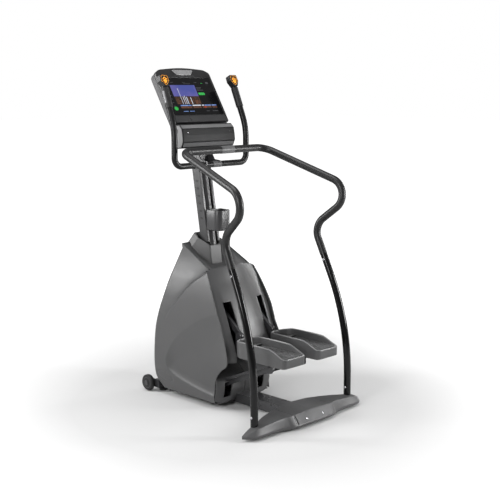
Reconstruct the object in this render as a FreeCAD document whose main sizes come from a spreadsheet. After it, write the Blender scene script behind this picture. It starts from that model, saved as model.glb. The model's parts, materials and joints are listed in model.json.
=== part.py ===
"""Two-pedal stair climber (stepper): base frame, linked pedals, drive, shroud, mast and console.

Millimetres.  +X is the user's right, +Y points forward to the console, +Z is up.  The origin is on
the floor, under the middle of the machine.  Lengths along the machine are counted forward from the
two handrail uprights, whose place is the cell upright_y.  Pieces on the right side are modelled
and the left ones are their mirror images.
"""
import FreeCAD, Part
import math
import os
import re

import Sketcher

V = FreeCAD.Vector
ORIGIN = V(0, 0, 0)
AXIS_X, AXIS_Y, AXIS_Z = V(1, 0, 0), V(0, 1, 0), V(0, 0, 1)

doc = FreeCAD.newDocument("stair_climber")
sheet = doc.addObject("Spreadsheet::Sheet", "Dims")

DIMENSIONS = [
    ("upright_y", -460, "place of the handrail uprights along Y"),
    ("upright_x", 355, "half the distance between the uprights"),
    ("upright_radius", 19, "outside radius of the upright tube"),
    ("handrail_radius", 20, "outside radius of the rubber-coated handrail"),
    ("tube_wall", 2.5, "wall of the round tubes"),
    ("foot_height", 14, "height of the rubber feet"),
    ("beam_width", 100, "main beam, across"),
    ("beam_height", 50, "main beam, height"),
    ("beam_bottom", 12, "underside of the main beam above the floor"),
    ("beam_wall", 3, "wall of the rectangular tubes"),
    ("cross_half", 335.5, "half length of the rear cross tube"),
    ("front_half", 200, "half length of the front cross tube"),
    ("wheel_radius", 45, "transport wheel radius"),
    ("wheel_width", 28, "transport wheel width"),
    ("wheel_y", 965, "wheel axle, forward of the uprights"),
    ("wheel_z", 47, "wheel axle height, which clears the floor by 2"),
    ("wheel_x", 208, "inner face of the wheel"),
    ("axle_radius", 8, "wheel stub axle"),
    ("running", 0.05, "radial clearance of a running fit"),
    ("seam", 0.3, "half the gap where two covers meet"),
    ("skin", 4, "wall of the moulded covers"),
    ("arm_inner", 100, "inner face of a pedal arm"),
    ("arm_width", 20, "pedal arm, across"),
    ("arm_depth", 26, "pedal arm, depth"),
    ("arm_y", 550, "lower pivot, forward of the uprights"),
    ("arm_z", 84, "lower pivot height"),
    ("pedal_pivot_y", 120, "pivot under the pedal, forward of the uprights"),
    ("pedal_pivot_z", 270, "pivot under the pedal, height"),
    ("rod_rise", 22, "height of the levelling rod pivots above the arm pivots"),
    ("link_y", 336, "front pivot of the pedal carrier, forward of the uprights"),
    ("link_z", 405, "front pivot of the pedal carrier, height"),
    ("link_length", 325, "drive link, centre to centre"),
    ("link_angle", 40, "drive link, degrees above level"),
    ("drive_y", 733, "drive shaft, forward of the uprights"),
    ("drive_z", 427, "drive shaft height"),
    ("shaft_radius", 10, "pivot shaft and drive shaft"),
    ("pulley_radius", 95, "drive pulley"),
    ("alternator_y", 800, "alternator axis, forward of the uprights"),
    ("alternator_z", 190, "alternator axis height"),
    ("small_pulley", 22, "alternator pulley radius"),
    ("belt_thick", 4, "drive belt thickness"),
    ("pedal_x", 126, "middle of a pedal, from the centre plane"),
    ("pedal_half", 80, "half width of a pedal"),
    ("pedal_rear", -62, "rear end of the pedals, from the uprights"),
    ("pedal_length", 380, "pedal length"),
    ("pedal_bottom", 318, "underside of the pedal skirt"),
    ("pedal_floor", 368, "foot surface"),
    ("pedal_rim", 408, "top of the pedal rim"),
    ("shroud_half", 214, "half width of the shroud"),
    ("slot_inner", 97, "inner edge of the arm slots"),
    ("slot_width", 50, "width of the arm slots"),
    ("mast_radius", 25, "mast tube radius"),
    ("mast_lean", 9.65, "degrees the mast leans forward"),
    ("mast_plate_in", 28, "inner face of the mast side plates"),
    ("mast_plate", 17, "thickness of the mast side plates"),
    ("console_half", 196, "half width of the console"),
    ("console_height", 330, "console height along its face"),
    ("console_tilt", 58.35, "degrees of the console face above level"),
    ("frame_thick", 18, "depth of the console front frame"),
    ("glass_half", 181, "half width of the display glass"),
    ("glass_low", 47, "lower edge of the display glass on the face"),
    ("glass_high", 276, "upper edge of the display glass on the face"),
    ("glass_thick", 3, "display glass"),
    ("bar_radius", 16.5, "handlebar tube radius"),
    ("bar_grip_radius", 19.5, "handlebar grip radius"),
    ("cup_half", 52, "half width of the cup holder"),
    ("cup_bottom", 925, "underside of the cup holder"),
    ("cup_height", 110, "cup holder height"),
]
for row, (alias, value, meaning) in enumerate(DIMENSIONS, start=1):
    sheet.set(f"A{row}", meaning)
    sheet.set(f"B{row}", str(value))
    sheet.setAlias(f"B{row}", alias)
doc.recompute()
DIM = {alias: float(value) for alias, value, _ in DIMENSIONS}
NODES = {}


# ---------------------------------------------------------------- helpers

def formula(size):
    """A size as an expression on the sheet: a number, or text made of cell names and numbers."""
    return re.sub(r"[a-z]\w*", lambda word: "Dims." + word.group(0), str(size))


def amount(size):
    """The same size as a number."""
    return work_out(str(size))


def work_out(text):
    """Work out sums, differences, products and quotients of cell names and numbers."""
    total = 0.0
    for sign, term in re.findall(r"([+-]?)\s*([^+-]+)", text.strip()):
        product = 1.0
        for operator, factor in re.findall(r"([*/]?)\s*([a-z]\w*|[\d.]+)", term):
            number = DIM[factor] if factor in DIM else float(factor)
            product = product / number if operator == "/" else product * number
        total += -product if sign == "-" else product
    return total


def bind(obj, **sizes):
    """Bind properties of an object to the sheet."""
    for prop, size in sizes.items():
        obj.setExpression(prop, formula(size))


def place(obj, x=0, y=0, z=0, turn=None):
    """Put an object at x, y forward of the uprights, z; turn is an optional rotation."""
    rotation = turn or FreeCAD.Rotation()
    obj.Placement = FreeCAD.Placement(V(amount(x), DIM["upright_y"] + amount(y), amount(z)), rotation)
    obj.setExpression("Placement.Base.x", formula(x))
    obj.setExpression("Placement.Base.y", formula("upright_y + " + str(y)))
    obj.setExpression("Placement.Base.z", formula(z))
    return obj


def box(name, x, y, z, length, width, height, turn=None):
    obj = doc.addObject("Part::Box", name)
    bind(obj, Length=length, Width=width, Height=height)
    return place(obj, x, y, z, turn)


def cylinder(name, x, y, z, radius, height, axis=AXIS_Z):
    obj = doc.addObject("Part::Cylinder", name)
    bind(obj, Radius=radius, Height=height)
    return place(obj, x, y, z, FreeCAD.Rotation(AXIS_Z, axis))


def fuse(name, *pieces):
    obj = doc.addObject("Part::MultiFuse", name)
    obj.Shapes = list(pieces)
    return obj


def common(name, *pieces):
    obj = doc.addObject("Part::MultiCommon", name)
    obj.Shapes = list(pieces)
    return obj


def cut(name, base, *tools):
    """Take the tools away from base."""
    tool = tools[0] if len(tools) == 1 else fuse(name + "_tools", *tools)
    obj = doc.addObject("Part::Cut", name)
    obj.Base = base
    obj.Tool = tool
    return obj


def keep(name, obj):
    """Make an object a sub-part with this name."""
    obj.Label = name
    NODES[name] = obj
    return obj


def keep_pair(stem, obj):
    """Keep a right-hand piece and its mirror image on the left."""
    keep("right_" + stem, obj)
    mirror = doc.addObject("Part::Mirroring", "mirror_" + stem)
    mirror.Source = obj
    mirror.Base = ORIGIN
    mirror.Normal = AXIS_X
    keep("left_" + stem, mirror)


def mirrored(name, obj):
    """One piece with its mirror image, both in one node."""
    mirror = doc.addObject("Part::Mirroring", "mirror_" + name)
    mirror.Source = obj
    mirror.Base = ORIGIN
    mirror.Normal = AXIS_X
    group = doc.addObject("Part::Compound", name + "_group")
    group.Links = [obj, mirror]
    return group


def rounded_edges(points):
    """Lines through (u, v) or (u, v, radius) corners of a closed outline, with arcs at the radii."""
    corners = [(V(p[0], p[1], 0), p[2] if len(p) > 2 else 0) for p in points]
    ends = []
    for i, (corner, radius) in enumerate(corners):
        if radius == 0:
            ends.append((corner, corner, None))
            continue
        back = (corners[i - 1][0] - corner).normalize()
        ahead = (corners[(i + 1) % len(corners)][0] - corner).normalize()
        half = back.getAngle(ahead) / 2
        reach = radius / math.tan(half)
        middle = (back + ahead).normalize()
        start, end = corner + back * reach, corner + ahead * reach
        ends.append((start, end, corner + middle * (radius / math.sin(half) - radius)))
    edges = []
    for i, (start, end, middle) in enumerate(ends):
        if middle is not None:
            edges.append(Part.Arc(start, middle, end))
        following = ends[(i + 1) % len(ends)][0]
        if (following - end).Length > 1e-6:
            edges.append(Part.LineSegment(end, following))
    return edges


PLANE_ROLES = {"XY": "XY_Plane", "XZ": "XZ_Plane", "YZ": "YZ_Plane"}


def slab(name, plane, points, thickness, x=0, y=0, z=0, turn=None, reverse=False):
    """A body padded from a closed outline.

    On XY the outline is (x, y) and grows up, on YZ it is (y, z) and grows along +X, and on XZ it
    is (x, z) and grows along -Y, or along +Y when reversed.  The outline is measured from the
    body's place.
    """
    body = doc.addObject("PartDesign::Body", name)
    sketch = body.newObject("Sketcher::SketchObject", name + "_outline")
    origin_plane = [f for f in body.Origin.OriginFeatures if f.Role == PLANE_ROLES[plane]][0]
    sketch.AttachmentSupport = [(origin_plane, "")]
    sketch.MapMode = "FlatFace"
    edges = rounded_edges(points)
    for edge in edges:
        sketch.addGeometry(edge, False)
    pad = body.newObject("PartDesign::Pad", name + "_pad")
    pad.Profile = sketch
    bind(pad, Length=thickness)
    pad.Reversed = reverse
    body.Tip = pad
    return place(body, x, y, z, turn)


def route(name, points):
    """A wire of straight runs and tangent arcs through (x, y, z, radius) corners."""
    corners = [V(p[0], p[1] + DIM["upright_y"], p[2]) for p in points]
    edges = []
    start = corners[0]
    for i in range(1, len(corners) - 1):
        radius = points[i][3]
        back = (corners[i - 1] - corners[i]).normalize()
        ahead = (corners[i + 1] - corners[i]).normalize()
        half = back.getAngle(ahead) / 2
        reach = radius / math.tan(half)
        middle = corners[i] + (back + ahead).normalize() * (radius / math.sin(half) - radius)
        first, last = corners[i] + back * reach, corners[i] + ahead * reach
        edges.append(Part.LineSegment(start, first).toShape())
        edges.append(Part.Arc(first, middle, last).toShape())
        start = last
    edges.append(Part.LineSegment(start, corners[-1]).toShape())
    path = doc.addObject("Part::Feature", name + "_path")
    path.Shape = Part.Wire(edges)
    return path


def swept(name, path, radius):
    """A round bar of this radius along a path."""
    edges = path.Shape.Edges
    start = edges[0].valueAt(edges[0].FirstParameter)
    tangent = edges[0].tangentAt(edges[0].FirstParameter)
    circle = doc.addObject("Part::Circle", name + "_circle")
    circle.Placement = FreeCAD.Placement(start, FreeCAD.Rotation(AXIS_Z, tangent))
    bind(circle, Radius=radius)
    bar = doc.addObject("Part::Sweep", name)
    bar.Sections = [circle]
    bar.Spine = (path, ["Edge%d" % (i + 1) for i in range(len(edges))])
    bar.Solid = True
    bar.Frenet = False
    return bar


def bent_tube(name, points, radius, bore):
    """A hollow round tube through corners."""
    path = route(name, points)
    return cut(name, swept(name + "_outside", path, radius), swept(name + "_inside", path, bore))


def bar_between(name, x, start, end, width, depth, boss_start, boss_end, bore_start, bore_end):
    """A flat bar in a YZ plane from start to end (y, z), with a boss and a bore at each end."""
    run = V(0, end[0] - start[0], end[1] - start[1])
    angle = math.degrees(math.atan2(run.z, run.y))
    turn = FreeCAD.Rotation(AXIS_X, angle)
    drop = turn.multVec(V(0, 0, -amount(depth) / 2))
    body = doc.addObject("Part::Box", name + "_body")
    bind(body, Length=width, Height=depth)
    body.Width = run.Length
    place(body, x, start[0] + drop.y, start[1] + drop.z, turn)
    bosses = [body]
    bores = []
    for i, (end_point, boss, bore) in enumerate(
            ((start, boss_start, bore_start), (end, boss_end, bore_end))):
        bosses.append(cylinder(f"{name}_boss{i}", x, end_point[0], end_point[1], boss, width, AXIS_X))
        if bore:
            bores.append(cylinder(f"{name}_bore{i}", str(x) + " - 1", end_point[0], end_point[1],
                                  bore, str(width) + " + 2", AXIS_X))
    whole = fuse(name + "_whole", *bosses)
    return cut(name, whole, *bores) if bores else whole


# ---------------------------------------------------------------- base frame

def rectangular_tube(name, x, y, z, length, width, height, along):
    """A hollow rectangular tube; along is X or Y, the way it is open."""
    outside = box(name + "_outside", x, y, z, length, width, height)
    if along == "X":
        inside = box(name + "_inside", f"{x} - 1", f"{y} + beam_wall", f"{z} + beam_wall",
                     f"{length} + 2", f"{width} - 2 * beam_wall", f"{height} - 2 * beam_wall")
    else:
        inside = box(name + "_inside", f"{x} + beam_wall", f"{y} - 1", f"{z} + beam_wall",
                     f"{length} - 2 * beam_wall", f"{width} + 2", f"{height} - 2 * beam_wall")
    return cut(name, outside, inside)


def base_frame():
    cross_rear, cross_depth = 20, 50
    front_y, front_z = 895, 24
    beam = rectangular_tube("beam", "0 - beam_width / 2", cross_rear, "beam_bottom", "beam_width",
                            front_y - cross_rear, "beam_height", "Y")
    keep("main_beam", beam)
    rear = rectangular_tube("rear_cross", "0 - cross_half", -cross_rear, 16, "2 * cross_half",
                            2 * cross_rear, 40, "X")
    keep("rear_cross_tube", rear)
    front = rectangular_tube("front_cross", "0 - front_half", front_y, front_z, "2 * front_half",
                             cross_depth, 40, "X")
    arm = box("wheel_plate", "front_half", front_y, front_z, 6, 90, 46)
    axle = cylinder("stub_axle", "front_half + 6", "wheel_y", "wheel_z", "axle_radius", 31, AXIS_X)
    cap = cylinder("axle_cap", "front_half + 37", "wheel_y", "wheel_z", "axle_radius + 5", 3, AXIS_X)
    half = fuse("wheel_arm", arm, axle, cap)
    other = doc.addObject("Part::Mirroring", "wheel_arm_left")
    other.Source = half
    other.Normal = AXIS_X
    keep("front_cross_tube", fuse("front_cross_whole", front, half, other))


def wheels():
    tyre = cylinder("tyre", "wheel_x", "wheel_y", "wheel_z", "wheel_radius", "wheel_width", AXIS_X)
    bore = cylinder("tyre_bore", "wheel_x - 1", "wheel_y", "wheel_z", "axle_radius + running",
                    "wheel_width + 2", AXIS_X)
    recess = cylinder("tyre_recess", "wheel_x + wheel_width - 3", "wheel_y", "wheel_z",
                      "wheel_radius - 14", 4, AXIS_X)
    boss = cylinder("tyre_boss", "wheel_x + wheel_width - 3", "wheel_y", "wheel_z",
                    "axle_radius + 9", 3, AXIS_X)
    wheel = cut("wheel", fuse("wheel_solid", cut("wheel_dished", tyre, recess), boss), bore)
    rounded = doc.addObject("Part::Fillet", "wheel_rounded")
    rounded.Base = wheel
    doc.recompute()
    rims = [(i + 1, 4.0, 4.0) for i, edge in enumerate(wheel.Shape.Edges)
            if edge.Curve.TypeId == "Part::GeomCircle"
            and abs(edge.Curve.Radius - DIM["wheel_radius"]) < 0.1]
    rounded.Edges = rims
    keep_pair("wheel", rounded)


def feet():
    rear = cylinder("rear_foot", "upright_x", 0, 0, "upright_radius + 4", "foot_height")
    pad = cylinder("front_foot_pad", 150, 920, 0, 24, 12)
    stem = cylinder("front_foot_stem", 150, 920, 12, 6, 12)
    right = doc.addObject("Part::Compound", "right_feet")
    right.Links = [rear, fuse("front_foot", pad, stem)]
    keep("feet", mirrored("feet", right))


# ---------------------------------------------------------------- handrails

UPRIGHT_TOP = (342, 165, 808)


def handrails():
    lean_corner = (DIM["upright_x"], 0, 446, 1300)
    upright = bent_tube("upright", [(DIM["upright_x"], 0, DIM["foot_height"]), lean_corner,
                                    UPRIGHT_TOP], "upright_radius", "upright_radius - tube_wall")
    bolt_places = (("base", (DIM["upright_x"], 0, 104)), ("top", (343.5, 152, 779)))
    holes = [cylinder("bolt_hole_" + tag, at[0] - 30, at[1], at[2], 4.05, 60, AXIS_X)
             for tag, at in bolt_places]
    keep_pair("upright", cut("upright_drilled", upright, *holes))
    bolts = []
    for tag, at in bolt_places:
        shank = cylinder("bolt_shank_" + tag, at[0] - 21, at[1], at[2], 4, 42, AXIS_X)
        heads = [cylinder(f"bolt_head_{tag}{i}", f"{at[0]} + {offset}" if offset > 0 else
                          f"{at[0]} - {-offset}", at[1], at[2], 6.5, 3, AXIS_X)
                 for i, offset in enumerate((20.2, -23.2))]
        bolts.append(fuse("bolt_" + tag, shank, *heads))
    right = doc.addObject("Part::Compound", "right_bolts")
    right.Links = bolts
    keep("handrail_bolts", mirrored("bolts", right))

    cross_y, cross_z = 572, 1359
    knee = tuple(high + 0.4 * (high - low) for low, high in zip(lean_corner, UPRIGHT_TOP))
    handrail = bent_tube("handrail", [UPRIGHT_TOP, knee + (90,), (397, -16, 1156.5, 87),
                                      (302, cross_y, cross_z, 70), (DIM["seam"], cross_y, cross_z)],
                         "handrail_radius", "handrail_radius - 4")
    keep_pair("handrail", handrail)
    plug = cylinder("joiner_plug", -60, cross_y, cross_z, "handrail_radius - 4.1", 120, AXIS_X)
    keep("handrail_joiner", plug)


# ---------------------------------------------------------------- rear floor covers

def cover_plan(half_start, half_end, inset):
    """Plan outline of the rear floor covers between two distances from the centre plane."""
    def front(x):
        return 108 - 0.00055 * x * x
    rear = -90 + inset
    tip_y = -10
    points = [(half_start, rear)]
    if half_end < 200:
        points += [(half_end, rear), (half_end, front(half_end) - inset)]
    else:
        points += [(350, rear + 12), (half_end - 22, -58 + inset), (half_end, tip_y),
                   (half_end - 30, 22 - inset), (330, front(330) - inset), (240, front(240) - inset)]
    points.append((half_start, front(half_start) - inset))
    return points


def cover_arch(start, end, top):
    """Outline of the covers seen from behind, falling from top at the middle to the tips."""
    low = top - 80
    if end < 200:
        return [(start, low), (end, low), (end, top - 2.5), (start, top)]
    return [(start, low), (end, low), (end, top - 44), (360, top - 18), (240, top - 8),
            (start, top - 2)]


def rear_covers():
    def shell(name, start, end, end_wall):
        outer = slab(name + "_outer", "XY", cover_plan(start, end, 0), "66", 0, 0, 12)
        inner = slab(name + "_inner", "XY", cover_plan(start + end_wall, end - 4, 4), "66", 0, 0, 8)
        arch = slab(name + "_arch", "XZ",
                    cover_arch(start - 1, end + 1, 80), 300, 0, 150, 0)
        low_arch = slab(name + "_low_arch", "XZ",
                        cover_arch(start - 1, end + 1, 76), 300, 0, 150, 0)
        solid = common(name + "_solid", outer, arch)
        hollow = common(name + "_hollow", inner, low_arch)
        return solid, hollow

    seam_x = 137
    solid, hollow = shell("side_cover", seam_x + DIM["seam"], 440, 4)
    tube_way = box("side_cover_way", seam_x - 5, -21, 10, 220, 42, 50)
    post_way = cylinder("side_cover_post", "upright_x", 0, 0, "upright_radius + 0.5", 200)
    foot_way = cylinder("side_cover_foot", "upright_x", 0, 0, "upright_radius + 5",
                        "foot_height + 1")
    keep_pair("rear_cover", cut("side_cover", solid, hollow, tube_way, post_way, foot_way))

    solid, hollow = shell("middle_cover", 0, seam_x - DIM["seam"], 0)
    beam_way = box("middle_cover_beam", -1, 18, 8, "beam_width / 2 + 1.5", 100,
                   "beam_height + 4.5")
    cross_way = box("middle_cover_cross", 120, -21, 10, 30, 42, 50)
    hole = cylinder("cover_screw_hole", 62, -91, 38, 6.2, 10, AXIS_Y)
    right = cut("middle_cover_half", solid, hollow, beam_way, cross_way, hole)
    left = doc.addObject("Part::Mirroring", "middle_cover_left")
    left.Source = right
    left.Normal = AXIS_X
    keep("rear_cover_centre", fuse("middle_cover", right, left))
    head = cylinder("cover_screw_head", 62, -89, 38, 6, 5, AXIS_Y)
    shank = cylinder("cover_screw_shank", 62, -84, 38, 3, 12, AXIS_Y)
    keep("cover_screws", mirrored("cover_screw", fuse("cover_screw", head, shank)))


# ---------------------------------------------------------------- drive and pedal linkage

def drive_frame():
    plate_in, plate_thick = 75, 6
    outline = [(0, 68), (368, 68), (285, 470, 30), (175, 470, 30), (0, 130)]
    plate = slab("drive_plate", "YZ", outline, plate_thick, plate_in, 515, 0)
    pivot_hole = cylinder("plate_pivot_hole", plate_in - 1, "arm_y", "arm_z",
                          "shaft_radius + running", 8, AXIS_X)
    bearing_hole = cylinder("plate_bearing_hole", plate_in - 1, "drive_y", "drive_z", 22.05, 8, AXIS_X)
    window = slab("plate_window", "YZ", [(0, 0, 20), (150, 0, 20), (130, 150, 20), (20, 90, 20)],
                  8, plate_in - 1, 600, 120)
    drilled = cut("drive_plate_drilled", plate, pivot_hole, bearing_hole, window)
    shelf = box("rod_shelf", plate_in + 6, 530, 62, 75, 40, 6)
    ear = box("rod_ear", 150, 530, 68, 6, 40, 54)
    pin = cylinder("rod_pin", 131, "arm_y", "arm_z + rod_rise", 6, 19, AXIS_X)
    half = fuse("drive_frame_half", drilled, shelf, ear, pin)
    other = doc.addObject("Part::Mirroring", "drive_frame_left")
    other.Source = half
    other.Normal = AXIS_X
    base = box("drive_base", -81, 515, 62, 162, 363, 6)
    brace = box("drive_brace", -75, 855, 68, 150, 20, 60)
    mast_way = cylinder("drive_mast_way", 0, 0, 0, "mast_radius + 1", 200)
    place(mast_way, 0, "683 - 0.17 * 889", 0, FreeCAD.Rotation(AXIS_X, -DIM["mast_lean"]))
    keep("drive_frame", cut("drive_frame_solid", fuse("drive_frame", half, other, base, brace),
                            mast_way))


def shafts():
    keep("pivot_shaft", cylinder("pivot_shaft", -121, "arm_y", "arm_z", "shaft_radius", 242, AXIS_X))
    keep("drive_shaft", cylinder("drive_shaft", -101, "drive_y", "drive_z", "shaft_radius", 202,
                                 AXIS_X))
    ring = cylinder("bearing_ring", 72, "drive_y", "drive_z", 22, 12, AXIS_X)
    bore = cylinder("bearing_bore", 71, "drive_y", "drive_z", "shaft_radius + running", 14, AXIS_X)
    keep("shaft_bearings", mirrored("bearing", cut("bearing", ring, bore)))


def return_springs():
    """Torsion springs on the pivot shaft, beside the pedal arm hubs."""
    wire, pitch, turns, coil_radius, coil_start = 1.7, 4.4, 3, 12.4, 84.4
    helix = doc.addObject("Part::Helix", "spring_helix")
    helix.Pitch = pitch
    helix.Height = pitch * turns
    helix.Radius = coil_radius
    helix.Placement = FreeCAD.Placement(V(coil_start, DIM["upright_y"] + DIM["arm_y"], DIM["arm_z"]),
                                        FreeCAD.Rotation(AXIS_Z, AXIS_X))
    doc.recompute()
    edge = helix.Shape.Edges[0]
    circle = doc.addObject("Part::Circle", "spring_circle")
    circle.Radius = wire
    circle.Placement = FreeCAD.Placement(edge.valueAt(edge.FirstParameter),
                                         FreeCAD.Rotation(AXIS_Z, edge.tangentAt(edge.FirstParameter)))
    coil = doc.addObject("Part::Sweep", "spring_coil")
    coil.Sections = [circle]
    coil.Spine = (helix, ["Edge%d" % (i + 1) for i in range(len(helix.Shape.Edges))])
    coil.Solid = True
    coil.Frenet = True
    keep("return_springs", mirrored("spring", coil))


def pulleys():
    rim = cylinder("pulley_rim", -12, "drive_y", "drive_z", "pulley_radius", 24, AXIS_X)
    dishes = [cylinder(f"pulley_dish{i}", x, "drive_y", "drive_z", "pulley_radius - 12", 9, AXIS_X)
              for i, x in enumerate((-12, 3))]
    hub = cylinder("pulley_hub", -14, "drive_y", "drive_z", 22, 28, AXIS_X)
    bore = cylinder("pulley_bore", -15, "drive_y", "drive_z", "shaft_radius + 0.02", 30, AXIS_X)
    keep("drive_pulley", cut("pulley", fuse("pulley_solid", cut("pulley_dished", rim, *dishes), hub),
                             bore))

    body = cylinder("alternator_body", 15, "alternator_y", "alternator_z", 56, 54, AXIS_X)
    lug = box("alternator_foot", 20, "alternator_y - 34", 68, 44, 68, 80)
    bore = cylinder("alternator_bore", 14, "alternator_y", "alternator_z", 6.05, 40, AXIS_X)
    keep("alternator", cut("alternator", fuse("alternator_solid", body, lug), bore))
    wheel = cylinder("alternator_pulley", -10, "alternator_y", "alternator_z", "small_pulley", 20,
                     AXIS_X)
    stem = cylinder("alternator_stem", 10, "alternator_y", "alternator_z", 6, 38, AXIS_X)
    keep("alternator_pulley", fuse("alternator_pulley_whole", wheel, stem))

    keep("drive_belt", belt())


def belt():
    """A flat loop round both pulleys, a running clearance off each."""
    across = V(0, DIM["alternator_y"] - DIM["drive_y"], DIM["alternator_z"] - DIM["drive_z"])
    gap = DIM["running"]

    def loop(extra):
        big, small = DIM["pulley_radius"] + gap + extra, DIM["small_pulley"] + gap + extra
        heading = math.atan2(across.z, across.y)
        spread = math.acos((big - small) / across.Length)
        centres = (V(0, 0, 0), V(0, across.y, across.z))

        def at(centre, radius, angle):
            return centre + V(0, radius * math.cos(angle), radius * math.sin(angle))
        upper, lower = heading + spread, heading - spread
        edges = [Part.Arc(at(centres[0], big, upper), at(centres[0], big, heading + math.pi),
                          at(centres[0], big, lower)),
                 Part.LineSegment(at(centres[0], big, lower), at(centres[1], small, lower)),
                 Part.Arc(at(centres[1], small, lower), at(centres[1], small, heading),
                          at(centres[1], small, upper)),
                 Part.LineSegment(at(centres[1], small, upper), at(centres[0], big, upper))]
        return Part.Face(Part.Wire([edge.toShape() for edge in edges]))

    width = 18
    ring = loop(DIM["belt_thick"]).extrude(V(width, 0, 0)).cut(loop(0).extrude(V(width, 0, 0)))
    loop_feature = doc.addObject("Part::Feature", "belt_loop")
    loop_feature.Shape = ring
    place(loop_feature, -width / 2, "drive_y", "drive_z")
    return loop_feature


def linkage():
    lower = (DIM["arm_y"], DIM["arm_z"])
    under = (DIM["pedal_pivot_y"], DIM["pedal_pivot_z"])
    rise = DIM["rod_rise"]
    arm = bar_between("pedal_arm", "arm_inner", lower, under, "arm_width", "arm_depth", 15, 16,
                      "shaft_radius + running", "8 + running")
    keep_pair("pedal_arm", arm)
    rod = bar_between("levelling_rod", 132, (lower[0], lower[1] + rise), (under[0], under[1] + rise),
                      10, 12, 10, 10, "6 + running", "6 + running")
    keep_pair("levelling_rod", rod)

    angle = math.radians(DIM["link_angle"])
    front = (DIM["link_y"], DIM["link_z"])
    top = (front[0] + DIM["link_length"] * math.cos(angle),
           front[1] + DIM["link_length"] * math.sin(angle))
    link = bar_between("drive_link", 104, front, top, 16, 28, 17, 17, "8 + running", 0)
    pin = cylinder("link_pin", 84, top[0], top[1], 6, 21, AXIS_X)
    keep_pair("drive_link", fuse("drive_link_pinned", link, pin))
    lever = bar_between("drive_lever", 86, (DIM["drive_y"], DIM["drive_z"]), top, 13, 30, 24, 24,
                        "shaft_radius + running", 16)
    keep_pair("drive_lever", lever)


def pedal_carriers():
    outline = [(96, 252, 12), (146, 250, 12), (318, 290, 20), (358, 336, 16), (358, 424, 17),
               (324, 424, 14), (324, 316, 6), (300, 310, 6), (284, 352), (60, 352), (96, 310, 10)]
    plate = slab("carrier_plate", "YZ", [(p[0] - 60,) + p[1:] for p in outline], 8, 122, 60, 0)
    flange = box("carrier_flange", 70, 40, 352, 112, 236, 6)
    pin_under = cylinder("carrier_pin", 98, "pedal_pivot_y", "pedal_pivot_z", 8, 24, AXIS_X)
    pin_rod = cylinder("carrier_rod_pin", 130, "pedal_pivot_y", "pedal_pivot_z + rod_rise", 6, 14,
                       AXIS_X)
    pin_link = cylinder("carrier_link_pin", 102, "link_y", "link_z", 8, 20, AXIS_X)
    keep_pair("pedal_carrier", fuse("pedal_carrier", plate, flange, pin_under, pin_rod, pin_link))


def pedals():
    half, rear, length = DIM["pedal_half"], DIM["pedal_rear"], DIM["pedal_length"]

    def plan(inset):
        low, high = -half + inset, half - inset
        back, front = inset, length - inset
        return [(low, back, 24 - inset), (high, back, 24 - inset), (high, front, 78 - inset),
                (low, front, 78 - inset)]

    outer = slab("pedal_plan", "XY", plan(0), 110, "pedal_x", "pedal_rear", 310)
    side = slab("pedal_side", "YZ",
                [(-1, 322), (40, 318), (length + 1, 320), (length + 1, 398), (length - 70, 408),
                 (130, 408), (88, 402, 40), (20, 372, 30), (-1, 369)], 200, "pedal_x - 100",
                "pedal_rear", 0)
    foot_space = slab("pedal_foot_space", "XY", plan(9), 60, "pedal_x", "pedal_rear", "pedal_floor")
    under_space = slab("pedal_under_space", "XY", plan(7), 50, "pedal_x", "pedal_rear", 308)
    keep_pair("pedal", cut("pedal", common("pedal_solid", outer, side), foot_space, under_space))


# ---------------------------------------------------------------- shroud

def shroud_outline(inset):
    """Side outline of the shroud, (y, z), drawn in by inset."""
    return [(435 + inset, 40), (443 + inset, 121), (430 + inset, 178), (403 + inset, 222, 20),
            (336 + inset, 262 + inset, 12), (336 + inset, 300, 30), (387 + inset, 418, 200),
            (440 + inset, 560, 200), (530 + inset, 731 - inset, 6), (740 - inset, 852 - inset, 8),
            (800 - inset, 708, 300), (860 - inset, 583, 300), (930 - inset, 380, 300),
            (939 - inset, 180, 60), (938 - inset, 112, 20), (883 - inset, 54), (870 - inset, 40)]


def shroud():
    half = DIM["shroud_half"]

    def solid(tag, inset):
        side = slab(f"shroud_side_{tag}", "YZ", shroud_outline(inset), half + 1, 0, 0, 0)
        front = slab(f"shroud_front_{tag}", "XZ",
                     [(0, 30), (half - 12 - inset, 30), (half - inset, 130, 150),
                      (half - inset, 400, 200), (172 - inset, 650, 80), (140 - inset, 750),
                      (138 - inset, 860), (0, 860)], 800, 0, 1100, 0)
        plan = slab(f"shroud_plan_{tag}", "XY",
                    [(0, 312 + inset), (200 - inset, 336 + inset, 14), (half + 2 - inset, 520),
                     (half + 2 - inset, 700), (200 - inset, 939 - inset, 90), (0, 939 - inset)],
                    900, 0, 0, 20)
        return common(f"shroud_solid_{tag}", side, front, plan)

    outer = solid("outer", 0)
    inner = solid("inner", DIM["skin"])
    floor_way = box("shroud_floor_way", -1, 400, 30, 206, 500, 20)
    rear_way = box("shroud_rear_way", -1, 330, 30, 197, 140, 250)
    slot = box("shroud_slot", "slot_inner", 320, 200, "slot_width", 200, 374)
    mast_way = box("shroud_mast_way", -1, 612, 700, 58, 100, 160)
    beam_way = box("shroud_beam_way", -1, 850, 30, "beam_width / 2 + 2", 60, 33.5)
    half_way = box("shroud_half_way", -2, 0, 0, "2 + seam", 1100, 1000)
    neck_way = neck_loft("neck_way", 1.2)
    shell = cut("shroud_shell", outer, inner, floor_way, rear_way, slot, mast_way, beam_way,
                half_way, neck_way)
    keep_pair("shroud", shell)


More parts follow.
